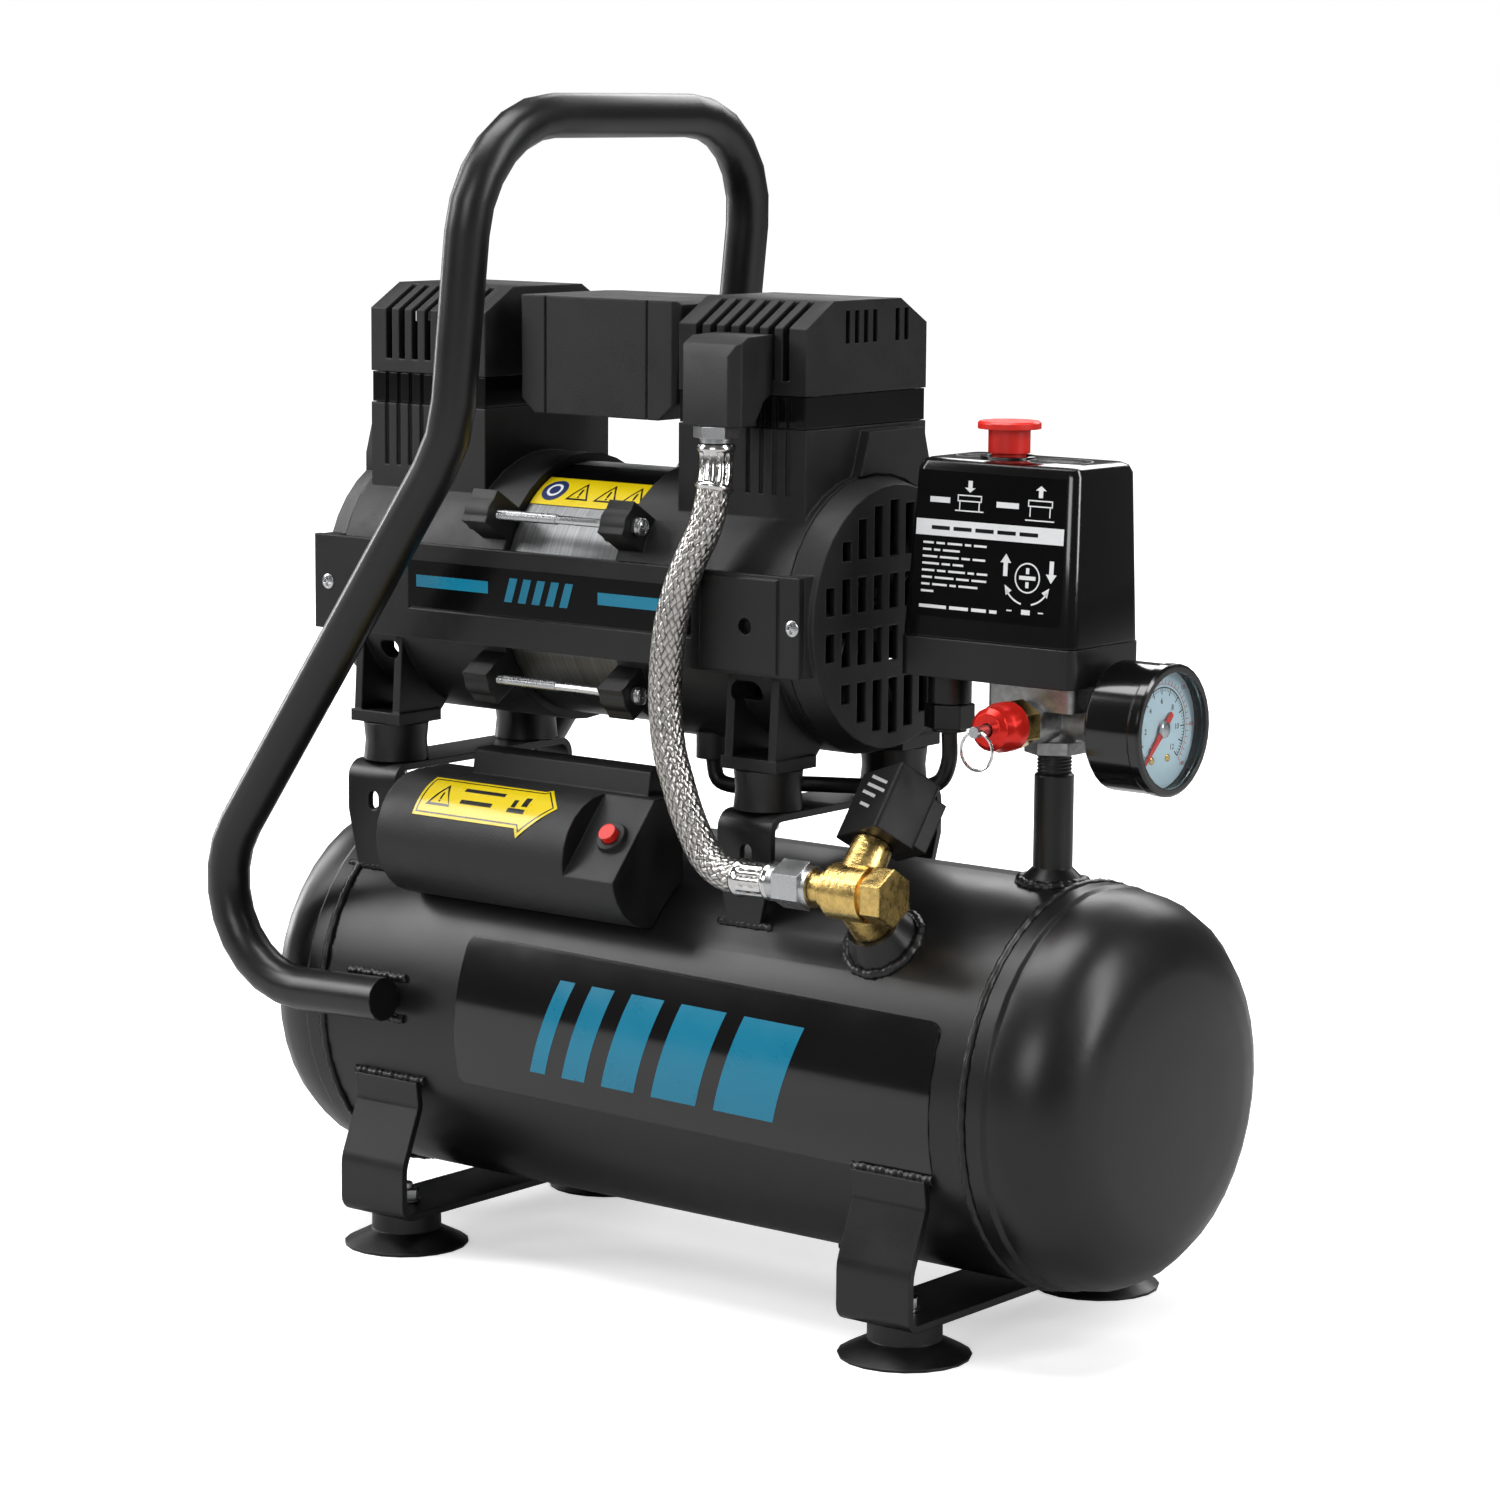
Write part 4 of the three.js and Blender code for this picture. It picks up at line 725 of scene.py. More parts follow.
def border_shapes(corners, gap, width):
    """A line inside a closed anticlockwise outline, as one four-sided piece along each side."""
    points = [Vector(corner) for corner in corners]
    loops = []
    for inset in (gap, gap + width):
        loop = []
        for before, here, after in zip([points[-1], *points[:-1]], points, [*points[1:], points[0]]):
            steps = [(here - before).normalized(), (after - here).normalized()]
            inward = [Vector((-step.y, step.x)) for step in steps]
            corner = (inward[0] + inward[1]).normalized()
            loop.append(here + corner * inset / corner.dot(inward[0]))
        loops.append(loop)
    outer, inner = loops
    return [[outer[i - 1], outer[i], inner[i], inner[i - 1]] for i in range(len(points))]


def sign_shapes(outer, inner, marks):
    """The three sides of a triangle, each between its outer and inner corners, and the marks inside it."""
    sides = [[outer[i], outer[i - 2], inner[i - 2], inner[i]] for i in range(3)]
    return sides + [box_shape(*mark) for mark in marks]


# -------------------------------------------------- routes and fasteners


def smooth_route(points, spacing):
    """Evenly close points along a smooth curve through a given route. Spacing is in metres."""
    ends = [points[0] * 2 - points[1], *points, points[-1] * 2 - points[-2]]
    made = []
    for a, b, c, d in zip(ends, ends[1:], ends[2:], ends[3:]):
        steps = max(1, round((c - b).length / spacing))
        for i in range(steps):
            t = i / steps
            made.append(((b * 2) + (c - a) * t + (a * 2 - b * 5 + c * 4 - d) * t * t
                         + (b * 3 - a - c * 3 + d) * t * t * t) / 2)
    return [*made, points[-1].copy()]


def length_of(path):
    return sum((b - a).length for a, b in zip(path, path[1:]))


HOSE_ROUTE = [
    at(27, -56.7, 348.6), at(27, -56.7, 341), at(27.6, -58.2, 333), at(26.4, -62, 317),
    at(22.4, -65.6, 304.6), at(18.5, -68.3, 292), at(15.7, -70, 279.2), at(14.2, -70.8, 266.8),
    at(13.4, -71, 254.3), at(13.9, -71.4, 242.3), at(16.3, -71.8, 227.5), at(20.5, -72.3, 216.3),
    at(25.8, -72.9, 204.2), at(32, -73.6, 193.8), at(38.5, -74.2, 186.2), at(47.5, -74.7, 181.6),
    at(58, -75, 181), at(72.7, -75, 181.4),
]
CABLE_ROUTE = [
    at(107, -8, 236.5), at(107, -8, 224.5), at(102, -8, 215.5), at(88, -8.5, 212), at(66, -9.5, 210.5),
    at(42, -11, 209), at(20, -13, 207.3), at(6, -15, 205), at(-3.5, -16, 207), at(-6, -16, 215.5),
]


def bead_on(name, path, radius, seed=0.0, closed=False):
    """A weld bead with the ripples of its puddles, close ones and slow ones."""
    run = length_of(path) / MM

    def ripple(share, angle):
        along = share * run
        close = 0.13 * math.sin(along * 2.1 + seed)
        slow = 0.1 * math.sin(along * 0.77 + 2 * seed + angle)
        return radius * (1 + close + slow)

    target = bmesh.new()
    sweep(target, path, ripple, 10, closed)
    return piece(name, target, powder_coat(), sharp=80)


def over_tank(x, z, side):
    """A point on the tank's front or back, at a height in mm above the floor."""
    up = z * MM - AXIS_Z
    return Vector((MIDDLE_X + x * MM, side * math.sqrt(max(0.0, TANK_RADIUS ** 2 - up ** 2)), z * MM))


def nut(target, place, width, height, stud):
    """A chamfered hexagon nut with the end of its stud through it. Sizes are in mm."""
    corner = width / math.sqrt(3)
    face = corner * 0.86
    lathe(target, [(face, 0), (corner, 0.4), (corner, height - 0.4), (face, height)], 6, place)
    tip = height + stud
    lathe(target, [(width * 0.28, height), (width * 0.28, tip - 0.4), (width * 0.22, tip)], 20, place)


def washer(target, place, outer, height):
    lathe(target, [(outer - 0.2, 0), (outer, 0.2), (outer, height - 0.2), (outer - 0.2, height)], 36, place)


def cross_head(name, place, radius, height):
    """A domed screw head with a cross recess sunk into it. Sizes are in mm."""
    sides, rings = 48, 10
    arm_width, arm_length, sunk = radius * 0.16, radius * 0.66, height * 0.8
    target = bmesh.new()
    levels = [circle(target, sides, radius, 0.0)]
    for k in range(rings + 1):
        r = radius * (1 - k / rings * 0.98)
        dome = height * math.sqrt(max(0.0, 1 - (r / radius) ** 2 * 0.92))
        ring = circle(target, sides, r, dome)
        for vert in ring:
            x, y = abs(vert.co.x) / MM, abs(vert.co.y) / MM
            if min(x, y) < arm_width and max(x, y) < arm_length:
                vert.co.z -= sunk * MM
        levels.append(ring)
    skin(target, levels)
    return piece(name, target, plated_steel(), place=place, sharp=40)


def threaded(name, start, direction, radius, depth, pitch, length, material):
    """A stretch of screw thread, as one helical ridge. Sizes are in mm."""
    rows = max(4, round(length / pitch * 6))
    target = bmesh.new()
    rings = []
    for k in range(rows + 1):
        height = length * k / rows

        def ridge(angle):
            share = (height / pitch - angle / (2 * math.pi)) % 1.0
            return radius - depth * abs(2 * share - 1)

        rings.append(circle(target, 24, ridge, height))
    skin(target, rings)
    return piece(name, target, material, place=frame_at(start, direction), sharp=60)


# -------------------------------------------------- operators


class COMPRESSOR_OT_camera(bpy.types.Operator):
    """Adds the camera, looking along the tank from its gauge end"""

    bl_idname = "compressor.camera"
    bl_label = "Camera"
    bl_options = {"REGISTER", "UNDO"}

    def execute(self, context):
        azimuth, fall, roll = (math.radians(a) for a in (38.317, 8.756, 0.435))
        ahead = Vector((-math.sin(azimuth) * math.cos(fall), math.cos(azimuth) * math.cos(fall),
                        -math.sin(fall)))
        level = Vector((math.cos(azimuth), math.sin(azimuth), 0))
        over = level.cross(ahead)
        right = level * math.cos(roll) + over * math.sin(roll)
        up = over * math.cos(roll) - level * math.sin(roll)
        data = bpy.data.cameras.new("Camera")
        data.lens, data.sensor_width = 105.71, 36.0
        data.shift_x, data.shift_y = 0.0006, 0.0091
        data.clip_start, data.clip_end = 0.1, 30.0
        camera = bpy.data.objects.new("Camera", data)
        looking = Matrix((right, up, -ahead)).transposed().to_4x4()
        camera.matrix_world = Matrix.Translation(at(1112.9, -1408.4, 488.3)) @ looking
        context.scene.collection.objects.link(camera)
        context.scene.camera = camera
        return {"FINISHED"}


class COMPRESSOR_OT_hose(bpy.types.Operator):
    """Adds the steel-braided outlet hose, woven from flat bundles of wire, and its crimped ferrules"""

    bl_idname = "compressor.hose"
    bl_label = "Braided hose"
    bl_options = {"REGISTER", "UNDO"}

    def execute(self, context):
        bundles, pitch, swell, sleeve_length = 14, 5.2 * MM, 0.5 * MM, 18 * MM
        path = smooth_route(HOSE_ROUTE, 0.65 * MM)
        radius = sizes().hose / 2
        sides = bundles * 6
        travelled = [0.0]
        for a, b in zip(path, path[1:]):
            travelled.append(travelled[-1] + (b - a).length)
        run = travelled[-1]

        def weave(share, angle):
            around, along = angle / (2 * math.pi) * bundles, share * run / pitch
            first, second = around + along, around - along
            over = (math.floor(first) + math.floor(second)) % 2
            across = (second if over else first) % 1.0
            return radius - swell * (2 * across - 1) ** 2

        target = bmesh.new()
        rings = sweep(target, path, weave, sides)
        layer = target.loops.layers.uv.new("Bundles")
        spot = {v: (i, k) for i, ring in enumerate(rings) for k, v in enumerate(ring)}
        for face in target.faces:
            wraps = {spot[loop.vert][1] for loop in face.loops} >= {0, sides - 1}
            for loop in face.loops:
                i, k = spot[loop.vert]
                around = (sides if wraps and k == 0 else k) / sides * bundles
                along = travelled[i] / pitch
                loop[layer].uv = (around + along, around - along + 200)
        hose = piece("hose_braid", target, woven_steel(), sharp=80)
        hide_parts("braided_hose")

        def crimped(share, angle):
            beads = max(math.exp(-((share - middle) / 0.055) ** 2) for middle in (0.08, 0.92))
            flutes = (0.5 + 0.5 * math.cos(12 * angle)) if 0.16 < share < 0.84 else 0.0
            return radius + (0.3 + 0.8 * beads - 0.5 * flutes) * MM

        for name, stretch in (("upper", path), ("lower", path[::-1])):
            sleeve = [stretch[0]]
            while length_of(sleeve) <= sleeve_length:
                sleeve.append(stretch[len(sleeve)])
            target = bmesh.new()
            sweep(target, sleeve, crimped, 96)
            ferrule = piece(f"hose_ferrule_{name}", target, bright_steel(), sharp=50)
        return {"FINISHED"}


class COMPRESSOR_OT_cable(bpy.types.Operator):
    """Adds the motor cable between the pressure switch and the motor"""

    bl_idname = "compressor.cable"
    bl_label = "Motor cable"
    bl_options = {"REGISTER", "UNDO"}

    def execute(self, context):
        path = smooth_route(CABLE_ROUTE, 2 * MM)
        target = bmesh.new()
        sweep(target, path, sizes().cable / 2, 20)
        cable = piece("motor_cable_sheath", target, black_rubber())
        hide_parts("motor_cable")
        length_of(path)
        return {"FINISHED"}


class COMPRESSOR_OT_stage(bpy.types.Operator):
    """Adds the pale floor, the soft studio lamps and the white surroundings"""

    bl_idname = "compressor.stage"
    bl_label = "Stage"
    bl_options = {"REGISTER", "UNDO"}

    def execute(self, context):
        scene = context.scene
        target = bmesh.new()
        bmesh.ops.create_grid(target, x_segments=2, y_segments=2, size=14.0)
        made = bpy.data.meshes.new("studio_floor")
        target.to_mesh(made)
        target.free()
        floor = bpy.data.objects.new("studio_floor", made)
        made.materials.append(studio_floor())
        scene.collection.objects.link(floor)
        middle = at(-20, 0, 200)
        lamps = (
            ("Overhead", (-0.5, -0.3, 2.6), (2.2, 1.4), 66.0),
            ("Left key", (-2.4, -1.5, 1.5), (1.0, 2.0), 56.0),
            ("Right strip", (2.3, 0.4, 1.3), (0.6, 2.0), 38.0),
            ("Front fill", (0.9, -3.0, 1.3), (1.4, 1.0), 24.0),
            ("Back rim", (-0.7, 2.4, 1.6), (2.2, 0.9), 32.0),
            ("Left rim", (-2.6, 0.5, 0.5), (0.5, 1.6), 20.0),
        )
        for name, offset, size, power in lamps:
            data = bpy.data.lights.new(name, "AREA")
            data.shape = "RECTANGLE"
            data.size, data.size_y = size
            data.energy = power
            lamp = bpy.data.objects.new(name, data)
            lamp.matrix_world = frame_at(middle + Vector(offset), offset)
            scene.collection.objects.link(lamp)
        world = bpy.data.worlds.new("White studio")
        world.use_nodes = True
        tree = world.node_tree
        background = tree.nodes["Background"].inputs
        direct = add(tree, "ShaderNodeLightPath").outputs["Is Camera Ray"]
        tree.links.new(ramp(tree, direct, 0.0, 1.0, 0.1, 1.0), background["Strength"])
        background["Color"].default_value = (1.0, 1.0, 1.0, 1.0)
        scene.world = world
        scene.view_settings.view_transform = "Standard"
        return {"FINISHED"}


class COMPRESSOR_OT_packed_parts(bpy.types.Operator):
    """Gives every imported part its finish"""

    bl_idname = "compressor.packed_parts"
    bl_label = "Packed parts"
    bl_options = {"REGISTER", "UNDO"}

    def execute(self, context):
        def pairs(*parts):
            return [f"{part}_{end}" for part in parts for end in ENDS]

        corners = [f"{part}_{face}_{end}" for part in ("foot", "damper") for face in FACES for end in ENDS]
        rods = [f"tie_rod_{face}_{level}" for face in FACES for level in ("low", "high")]
        finishes = (
            (powder_coat(), ["tank_shell", "carry_handle", "riser_pipe", "drain_valve",
                             *pairs("tank_head", "leg_strap", "motor_cradle")]),
            (housing_plastic(), ["crossover_box", "outlet_elbow", "start_box",
                                 *pairs("crankcase", "end_grille", "head_cover", "cooling_fan")]),
            (smooth_plastic(), ["side_panel_front", "side_panel_back", "switch_base"]),
            (moulded_epoxy(), ["solenoid_coil"]),
            (gloss_black(), ["gauge_case", "switch_cover", *pairs("cylinder_head")]),
            (black_rubber(), ["motor_cable", *corners]),
            (laminated_steel(), ["stator_core"]),
            (plated_steel(), ["hose_nut_upper", "hose_nut_lower", "rotor_shaft", "safety_stem", *rods]),
            (cast_brass(), ["check_valve"]),
            (turned_brass(), ["safety_valve"]),
            (cast_alloy(), ["manifold", *pairs("piston")]),
            (woven_steel(), ["braided_hose"]),
            (red_plastic(), ["switch_knob", "reset_button", "gauge_needle"]),
            (red_anodised(), ["safety_cap"]),
            (bright_steel(), ["pull_ring"]),
            (dial_paint(), ["gauge_dial"]),
            (clear_lens(), ["gauge_lens"]),
        )
        for material, nodes in finishes:
            for node in nodes:
                paint(node, material)
        left = sorted(set(NODES) - {node for _, nodes in finishes for node in nodes})
        if left:
            raise RuntimeError(f"no finish for {left}")
        return {"FINISHED"}


class COMPRESSOR_OT_welds(bpy.types.Operator):
    """Adds the weld beads round the tank's heads, brackets, handle and fittings"""

    bl_idname = "compressor.welds"
    bl_label = "Weld beads"
    bl_options = {"REGISTER", "UNDO"}

    def execute(self, context):
        bead = sizes().bead
        for name, x in (("left", low("tank_shell").x), ("right", high("tank_shell").x)):
            ring = [Vector((x, TANK_RADIUS * math.cos(a), AXIS_Z + TANK_RADIUS * math.sin(a)))
                    for a in turns(360)]
            bead_on(f"head_weld_{name}", ring, bead, closed=True)

        def straight(name, start, end, z, scale, seed):
            for face, side in FACES.items():
                path = [over_tank(start + (end - start) * i / 40, z, side) for i in range(41)]
                bead_on(f"{name}_{face}", path, bead * scale, seed=seed)

        def reach(node):
            return [(corner.x - MIDDLE_X) / MM for corner in (low(node), high(node))]

        for strap in ("leg_strap_left", "leg_strap_right"):
            start, end = reach(strap)
            straight(f"{strap}_weld", start - 2, end + 2, high(strap).z / MM, 1.3, start)
        for row, z in (("upper", 117.5), ("lower", 100.5)):
            straight(f"handle_weld_{row}", *HANDLE_END, z, 1.15, z)
        for cradle in ("motor_cradle_left", "motor_cradle_right"):
            start, end = reach(cradle)
            straight(f"{cradle}_weld", start, end, low(cradle).z / MM + 1.0, 1.0, start)
        lean = math.radians(BUNG_LEAN)
        outward = Vector((0, -math.sin(lean), math.cos(lean)))
        riser = middle_of("riser_pipe")
        for name, centre, axis, radius in (
            ("bung_weld", at(BUNG_X, 0, AXIS_Z / MM) + outward * TANK_RADIUS, outward, 15.5 * MM),
            ("riser_weld", Vector((riser.x, riser.y, AXIS_Z + TANK_RADIUS)), UP, 12.6 * MM),
        ):
            place = frame_at(centre, axis)
            ring = []
            for angle in turns(90):
                around = place @ Vector((radius * math.cos(angle), radius * math.sin(angle), 0))
                up = Vector((0, around.y, around.z - AXIS_Z)).normalized() * TANK_RADIUS
                ring.append(Vector((around.x, up.y, AXIS_Z + up.z)))
            bead_on(name, ring, bead * 1.35, closed=True)
        return {"FINISHED"}


class COMPRESSOR_OT_fasteners(bpy.types.Operator):
    """Adds the foot nuts, damper nuts, panel screws, rod screws and threads"""

    bl_idname = "compressor.fasteners"
    bl_label = "Fasteners"
    bl_options = {"REGISTER", "UNDO"}

    def execute(self, context):
        corners = [(face, end) for face in FACES for end in ENDS]
        for face, end in corners:
            foot = middle_of(f"foot_{face}_{end}")
            seat = Vector((foot.x, foot.y, low(f"leg_strap_{end}").z + PLATE))
            self.nut_on(f"foot_nut_{face}_{end}", seat, UP, (6.0, 1.1), (9.6, 4.6, 2.6))
            damper = middle_of(f"damper_{face}_{end}")
            under = Vector((damper.x, damper.y, high(f"motor_cradle_{end}").z - PLATE))
            self.nut_on(f"damper_nut_{face}_{end}", under, -UP, (5.6, 1.0), (8.4, 4.2, 2.0))
        insets = {"front": (7.6, 3.5), "back": (3.5, 7.6)}
        for face, side in FACES.items():
            panel = f"side_panel_{face}"
            outward = Vector((0, side, 0))
            plate = face_of(panel, outward)["middle"].y + side * ON_TOP
            height = (low(panel).z + high(panel).z) / 2
            left, right = insets[face]
            for end, x in (("left", low(panel).x + left * MM), ("right", high(panel).x - right * MM)):
                cross_head(f"panel_screw_{face}_{end}", frame_at((x, plate, height), outward), 3.2, 0.75)
            for level in ("low", "high"):
                rod = f"tie_rod_{face}_{level}"
                centre = middle_of(rod)
                tip = Vector((high(rod).x + ON_TOP, centre.y, centre.z))
                cross_head(f"rod_head_{face}_{level}", frame_at(tip, (1, 0, 0)), 3.5, 1.5)
                start = Vector((low(rod).x + 8.5 * MM, centre.y, centre.z))
                threaded(f"rod_thread_{face}_{level}", start, (1, 0, 0), 2.2, 0.36, 0.8, 34,
                         plated_steel())
        riser = middle_of("riser_pipe")
        threaded("riser_thread", (riser.x, riser.y, 223.2 * MM), UP, 7.0, 0.6, 1.4, 8.0,
                 powder_coat())
        return {"FINISHED"}

    def nut_on(self, name, seat, direction, washer_size, nut_size):
        """A washer of (radius, height) on a seat, under a nut of (width, height, stud)."""
        target = bmesh.new()
        washer(target, frame_at(seat, direction), *washer_size)
        nut(target, frame_at(seat + direction * washer_size[1] * MM, direction), *nut_size)
        piece(name, target, plated_steel(), sharp=28)


class COMPRESSOR_OT_tank_decal(bpy.types.Operator):
    """Adds the wide gloss decal on the tank, with plain slanted bars"""

    bl_idname = "compressor.tank_decal"
    bl_label = "Tank decal"
    bl_options = {"REGISTER", "UNDO"}

    def execute(self, context):
        film, ink = sizes().decal / MM, sizes().print / MM
        place = on_round(at(30, 0, AXIS_Z / MM), TANK_RADIUS, 4.2, -1.0)
        outline = box_shape(0, 0, 243, 64, 5)
        emboss("tank_decal_film", [outline], place, 0.03, film, gloss_black(), step=3.0)
        bars, left = [], -74.0
        for width in (8, 12, 17, 23, 30):
            bars.append(box_shape(left + width / 2, 0, width, 40, skew=BAR_LEAN))
            left += width + 9.0
        emboss("tank_decal_bars", bars, place, 0.05 + film, ink, blue_print(), step=3.0)
        return {"FINISHED"}


class COMPRESSOR_OT_panel_decal(bpy.types.Operator):
    """Adds the gloss strip with blue bars on both side panels"""

    bl_idname = "compressor.panel_decal"
    bl_label = "Panel decals"
    bl_options = {"REGISTER", "UNDO"}

    def execute(self, context):
        film, ink = sizes().decal / MM, sizes().print / MM
        strip = box_shape(0, 0, 152, 19.4, 0.8)
        marks = [box_shape(-51.5, 1.2, 40, 5), box_shape(45, 1.2, 34.5, 5)]
        marks += [box_shape(u, 1.0, 4.2, 10, skew=BAR_LEAN) for u in (-19, -11.5, -4, 3.5, 11)]
        for face, side in FACES.items():
            flat = face_of(f"side_panel_{face}", (0, side, 0))
            middle = (at(-59, 0, 0).x - flat["middle"].x) / MM * flat["right"].x
            place = on_face(flat, move=(middle, 3.0))
            emboss(f"panel_strip_{face}", [strip], place, 0.03, film, decal_film())
            emboss(f"panel_marks_{face}", marks, place, 0.05 + film, ink, blue_print())
        return {"FINISHED"}


class COMPRESSOR_OT_motor_label(bpy.types.Operator):
    """Adds the yellow label round the motor's core, with plain symbols"""

    bl_idname = "compressor.motor_label"
    bl_label = "Motor label"
    bl_options = {"REGISTER", "UNDO"}

    def execute(self, context):
        film, ink = sizes().decal / MM, sizes().print / MM
        core, radius = middle_of("stator_core"), high("stator_core").y
        width = (high("stator_core").x - low("stator_core").x) / MM - 0.6
        place = on_round(core, radius, 54.5)
        body = box_shape(0, 0, width, 17)
        emboss("motor_label_yellow", [body], place, 0.05, film, yellow_label(), step=2.0)
        band = box_shape(0, 0, width, 14.2)
        emboss("motor_label_band", [band], on_round(core, radius, 71.5), 0.05, film, decal_film(), step=2.0)
        signs = []
        for u in (-6.5, 8.5, 22.5):
            outer = [(u - 6, -5), (u + 6, -5), (u, 5.8)]
            inner = [(u - 4.6, -4.1), (u + 4.6, -4.1), (u, 4.1)]
            signs += sign_shapes(outer, inner, [(u, -0.4, 1.0, 3.8), (u, -3.2, 1.0, 1.0)])
        emboss("motor_label_symbols", signs, place, 0.07 + film, ink, black_print(), step=1.0)
        disc = disc_shape(-21, 0, 6.2)
        dark_blue = printed("Dark blue print", (0.01, 0.025, 0.12))
        emboss("motor_label_disc", [disc], place, 0.07 + film, ink, dark_blue, step=2.0)
        mark = ring_shapes(-21, 0, 3.8, 2.6, steps=18)
        emboss("motor_label_disc_mark", mark, place, 0.09 + film + ink, ink, white_print(), step=1.0)
        return {"FINISHED"}


class COMPRESSOR_OT_start_label(bpy.types.Operator):
    """Adds the yellow arrow label on the start box, with plain lines in place of words"""

    bl_idname = "compressor.start_label"
    bl_label = "Start box label"
    bl_options = {"REGISTER", "UNDO"}

    def execute(self, context):
        film, ink = sizes().decal / MM, sizes().print / MM
        wrap = on_round(at(-78, -62, 178), 26 * MM, 50)
        arrow = [(-32, -10.6), (24, -10.6), (26, -14.6), (41, 1.0), (30, 12.8), (28, 10.6), (-32, 10.6)]
        emboss("start_label", [arrow], wrap, 0.06, film, yellow_label(), step=2.0)
        sign = sign_shapes([(-27, -5.5), (-14, -5.5), (-20.5, 6)],
                           [(-25.2, -4.4), (-14.9, -4.4), (-20.5, 4)],
                           [(-20.5, -0.6, 0.9, 3.6), (-20.5, -3.2, 0.9, 0.8)])
        lines = [box_shape(*line) for line in (
            (0, 4.2, 22, 2.0), (-1, -2.2, 17, 2.0), (21, -3, 9, 2.2), (24, 2, 3, 5), (18.5, 0.5, 2.2, 4),
        )]
        marks = border_shapes(arrow, 1.3, 0.6) + sign + lines
        emboss("start_label_print", marks, wrap, 0.08 + film, ink, black_print(), step=1.0)
        return {"FINISHED"}


class COMPRESSOR_OT_switch_label(bpy.types.Operator):
    """Adds the pressure switch's label, with arrows, a screw sign and plain lines in place of words"""

    bl_idname = "compressor.switch_label"
    bl_label = "Switch label"
    bl_options = {"REGISTER", "UNDO"}

    def execute(self, context):
        film, ink = sizes().decal / MM, sizes().print / MM
        place = on_face(face_of("switch_cover", (0, -1, 0)), move=(0, 3.8))
        outline = box_shape(0, 0, 70, 57, 1.0)
        emboss("switch_label_film", [outline], place, 0.04, film, decal_film())
        marks = [box_shape(0, 6.2, 69.6, 6.3)]
        marks += self.button(-10, False, 13.4) + self.button(23.2, True, 11.8)
        marks += [box_shape(-24, 17.1, 9.5, 2.2), box_shape(8, 16.8, 10.5, 2.2)]
        marks += self.paragraph() + self.adjuster()
        emboss("switch_label_print", marks, place, 0.06 + film, ink, white_print())
        words = [box_shape(-23 + 10.4 * i, 6.2, 8.6, 1.5) for i in range(5)]
        emboss("switch_label_band_print", words, place, 0.08 + film + ink, ink, black_print())
        ovals = ring_shapes(17, -1, 13, 12.2) + [box_shape(17, y, 16, 0.9) for y in (-4, -1, 2)]
        ovals += ring_shapes(-25, 1, 7.5, 6.9) + [box_shape(-25, 1, 7, 0.9)]
        top = on_face(face_of("switch_cover", (0, 0, 1)))
        emboss("switch_top_print", ovals, top, 0.03, ink, grey_print())
        return {"FINISHED"}

    def button(self, u, up, ground):
        """A button seen from the side, with an arrow over it and a ground line under it."""
        return [
            arrow_shape(u, 22.9, 5, 4.6, up),
            box_shape(u, 19.4, 11.5, 0.5), box_shape(u, 17.2, 11.5, 0.5),
            box_shape(u - 5.5, 18.3, 0.5, 2), box_shape(u + 5.5, 18.3, 0.5, 2),
            box_shape(u - 4.6, 15.2, 0.5, 4), box_shape(u + 4.6, 15.2, 0.5, 4),
            box_shape(u, ground, 13.5, 0.5),
        ]

    def paragraph(self):
        """Rows of plain dashes, as long as words."""
        rows = ((5, 4, 7, 3, 6), (4, 3, 8), (7, 9, 4, 6), (8, 4, 5), (6, 4, 8, 3, 5), (5, 9, 6, 7),
                (4, 7, 3, 9), (6,))
        dashes = []
        for i, words in enumerate(rows):
            start = -31.0
            for width in words:
                dashes.append(box_shape(start + width / 2, 0.2 - 2.7 * i, width, 0.85))
                start += width + 1.3
        last = ((-25, 13), (-12.5, 9), (-3, 7), (3.8, 3.5))
        return dashes + [box_shape(u, -24.6, width, 1.3) for u, width in last]

    def adjuster(self):
        """A screw head between an up and a down arrow, over two bent arrows."""
        marks = ring_shapes(19, -10.4, 5.9, 5.3) + [box_shape(19, -10.4, 7.6, 1.5)]
        marks += [box_shape(19, -7.7, 1.5, 2.3), box_shape(19, -13.1, 1.5, 2.3)]
        marks += [arrow_shape(8.6, -6, 5, 8.6), arrow_shape(30, -7.5, 5, 8.6, False)]
        for start, end in ((212, 258), (282, 328)):
            marks += ring_shapes(19, -9.5, 11.6, 10.9, start, end, 10)
        marks += [[(8.6, -13.6), (12.0, -15.6), (9.4, -17.6)], [(29.4, -13.6), (28.6, -17.6), (26.0, -15.6)]]
        foot = ((11.3, -23.4, 2.4, 0.5), (19, -23.6, 4, 1.9), (26, -23.4, 2.4, 0.5))
        return marks + [box_shape(*mark) for mark in foot]


class COMPRESSOR_OT_coil_label(bpy.types.Operator):
    """Adds the small grey print on the valve's coil"""

    bl_idname = "compressor.coil_label"
    bl_label = "Coil print"
    bl_options = {"REGISTER", "UNDO"}

    def execute(self, context):
        place = on_face(face_of("solenoid_coil", (0, -0.6, 0.8)))
        rows = [box_shape(u, v, width, 1.3) for u, v, width in
                ((-1, 9, 17), (0, 5.6, 19), (-3, 2.2, 14), (-1, -2.4, 10))]
        emboss("coil_print", rows, place, 0.03, sizes().print / MM, grey_print())
        return {"FINISHED"}


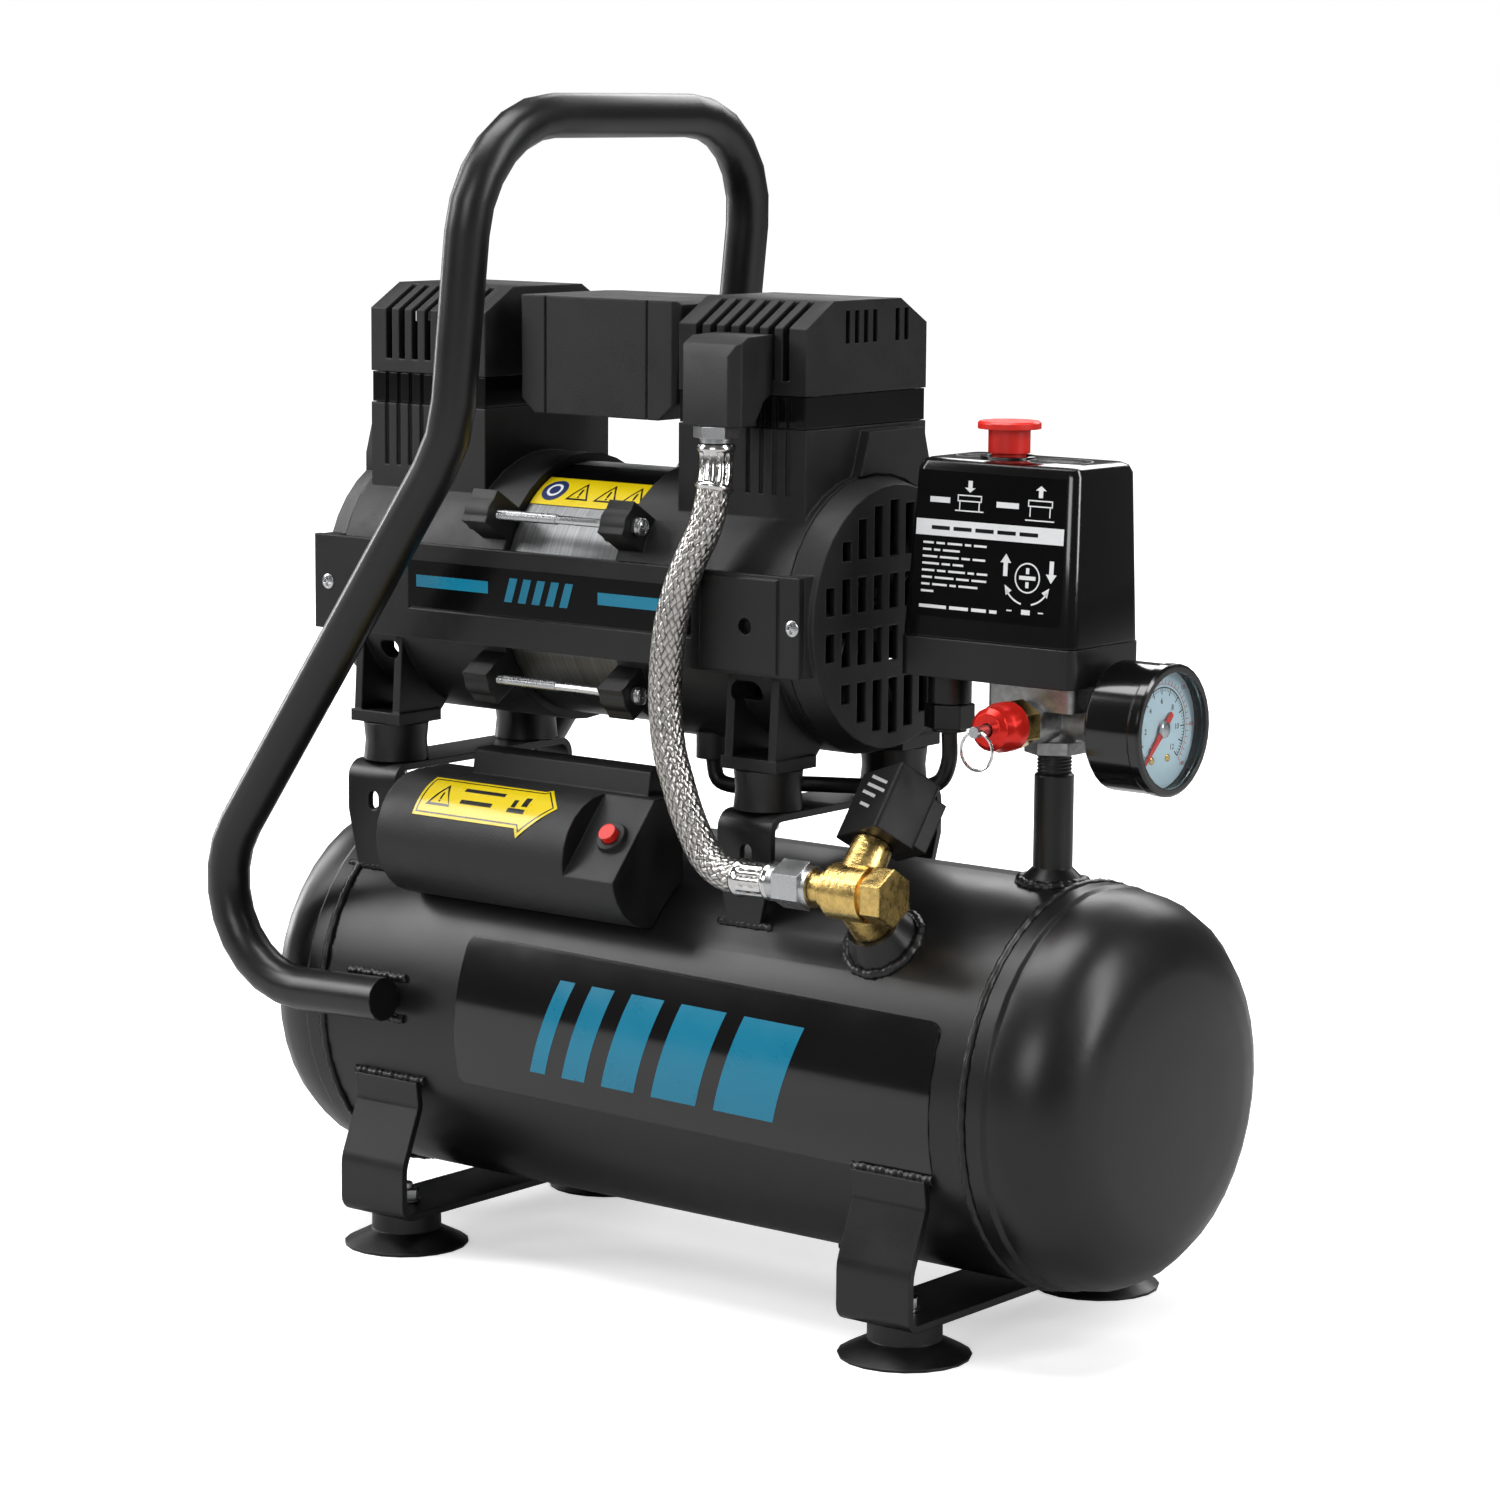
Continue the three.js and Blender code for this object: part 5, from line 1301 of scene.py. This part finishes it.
class COMPRESSOR_OT_gauge_dial(bpy.types.Operator):
    """Adds the gauge's scale rings, ticks, numbers, dial screws and needle hub"""

    bl_idname = "compressor.gauge_dial"
    bl_label = "Gauge scale"
    bl_options = {"REGISTER", "UNDO"}

    def execute(self, context):
        flat = face_of("gauge_dial", (1, 0, 0))
        place = on_face(flat)
        ink = sizes().print / MM
        black, red = black_print(), printed("Red print", (0.5, 0.02, 0.02))
        arc = (-45, 225, 60)
        inner = ring_shapes(0, 0, 16.4, 16.0, *arc)
        inner += self.ticks(12, 16.0, 13.4, 0.22) + self.ticks(60, 16.0, 14.6, 0.1)
        emboss("dial_scale", inner, place, 0.03, ink, black)
        outer = ring_shapes(0, 0, 17.6, 17.4, *arc) + self.ticks(36, 19.2, 17.6, 0.13)
        emboss("dial_scale_outer", outer, place, 0.03, ink, red)
        self.numbers("dial_numbers", range(0, 13, 2), 10.9, 3.1, place, black)
        self.numbers("dial_numbers_outer", range(0, 181, 30), 20.9, 2.1, place, red)
        hub = bmesh.new()
        centre = flat["middle"].copy()
        centre.x = high("gauge_needle").x - 1.2 * MM
        lathe(hub, [(2.9, 0), (3.1, 0.2), (3.1, 1.0), (2.2, 1.5)], 32, frame_at(centre, (1, 0, 0)))
        piece("needle_hub", hub, plated_steel(), body="pointer")
        screws = bmesh.new()
        for u in (-6.5, 4.5):
            lathe(screws, [(1.5, 0), (1.5, 0.4), (1.1, 0.7)], 20, frame_at(place(u, -11.5, 0.02), (1, 0, 0)))
        piece("dial_screws", screws, turned_brass())
        return {"FINISHED"}

    def bearing(self, share):
        """The angle of a share of the scale, which runs clockwise over three quarters of a turn."""
        return math.radians(225 - 270 * share)

    def ticks(self, count, outer, inner, half_width):
        made = []
        for i in range(count + 1):
            c, s = math.cos(self.bearing(i / count)), math.sin(self.bearing(i / count))
            corners = ((outer, -half_width), (outer, half_width), (inner, half_width), (inner, -half_width))
            made.append([(r * c - w * s, r * s + w * c) for r, w in corners])
        return made

    def numbers(self, name, values, radius, size, place, material):
        """Upright numbers, spread evenly along the scale."""
        target = bmesh.new()
        for i, value in enumerate(values):
            curve = bpy.data.curves.new(f"{name}_{value}", "FONT")
            curve.body, curve.size = str(value), size
            curve.align_x, curve.align_y = "CENTER", "CENTER"
            text = bpy.data.objects.new(curve.name, curve)
            number = bpy.data.meshes.new_from_object(text)
            angle = self.bearing(i / (len(values) - 1))
            number.transform(Matrix.Translation((radius * math.cos(angle), radius * math.sin(angle), 0)))
            target.from_mesh(number)
            bpy.data.objects.remove(text)
            bpy.data.curves.remove(curve)
        extrude(target, place, 0.03, sizes().print / MM)
        piece(name, target, material, sharp=DECAL_EDGE)


class COMPRESSOR_OT_trim(bpy.types.Operator):
    """Adds the collar round the knob's bore"""

    bl_idname = "compressor.trim"
    bl_label = "Knob collar"
    bl_options = {"REGISTER", "UNDO"}

    def execute(self, context):
        knob = middle_of("switch_knob")
        base = face_of("switch_cover", UP)["middle"].z
        inner, shoulder, outer = 9.4, 10.5, 11.1
        profile = [(inner, 0.05), (outer, 0.05), (outer, 0.7), (shoulder, 1.0), (inner, 1.0)]
        target = bmesh.new()
        lathe(target, profile, 48, hollow=True)
        piece("knob_collar", target, gloss_black(),
              place=Matrix.Translation((knob.x, knob.y, base)))
        return {"FINISHED"}


OPERATORS = (
    COMPRESSOR_OT_camera, COMPRESSOR_OT_hose, COMPRESSOR_OT_cable, COMPRESSOR_OT_stage,
    COMPRESSOR_OT_packed_parts, COMPRESSOR_OT_welds, COMPRESSOR_OT_fasteners, COMPRESSOR_OT_tank_decal,
    COMPRESSOR_OT_panel_decal, COMPRESSOR_OT_motor_label, COMPRESSOR_OT_start_label,
    COMPRESSOR_OT_switch_label, COMPRESSOR_OT_coil_label, COMPRESSOR_OT_gauge_dial, COMPRESSOR_OT_trim,
)


class COMPRESSOR_PT_panel(bpy.types.Panel):
    """Lists the compressor's sizes, colours and build steps"""

    bl_label = "Air compressor"
    bl_idname = "COMPRESSOR_PT_panel"
    bl_space_type = "VIEW_3D"
    bl_region_type = "UI"
    bl_category = "Compressor"

    def draw(self, context):
        for settings in (context.scene.compressor_sizes, context.scene.compressor_colours):
            column = self.layout.column()
            for name in settings.__annotations__:
                column.prop(settings, name)
        for operator in OPERATORS:
            self.layout.operator(operator.bl_idname)


CLASSES = (CompressorColours, CompressorSizes, *OPERATORS, COMPRESSOR_PT_panel)


def register():
    for made in CLASSES:
        bpy.utils.register_class(made)
    bpy.types.Scene.compressor_colours = bpy.props.PointerProperty(type=CompressorColours)
    bpy.types.Scene.compressor_sizes = bpy.props.PointerProperty(type=CompressorSizes)


def unregister():
    del bpy.types.Scene.compressor_sizes
    del bpy.types.Scene.compressor_colours
    for made in reversed(CLASSES):
        bpy.utils.unregister_class(made)


def main():
    register()
    for operator in OPERATORS:
        getattr(bpy.ops.compressor, operator.bl_idname.split(".")[1])()


if __name__ == "__main__":
    main()
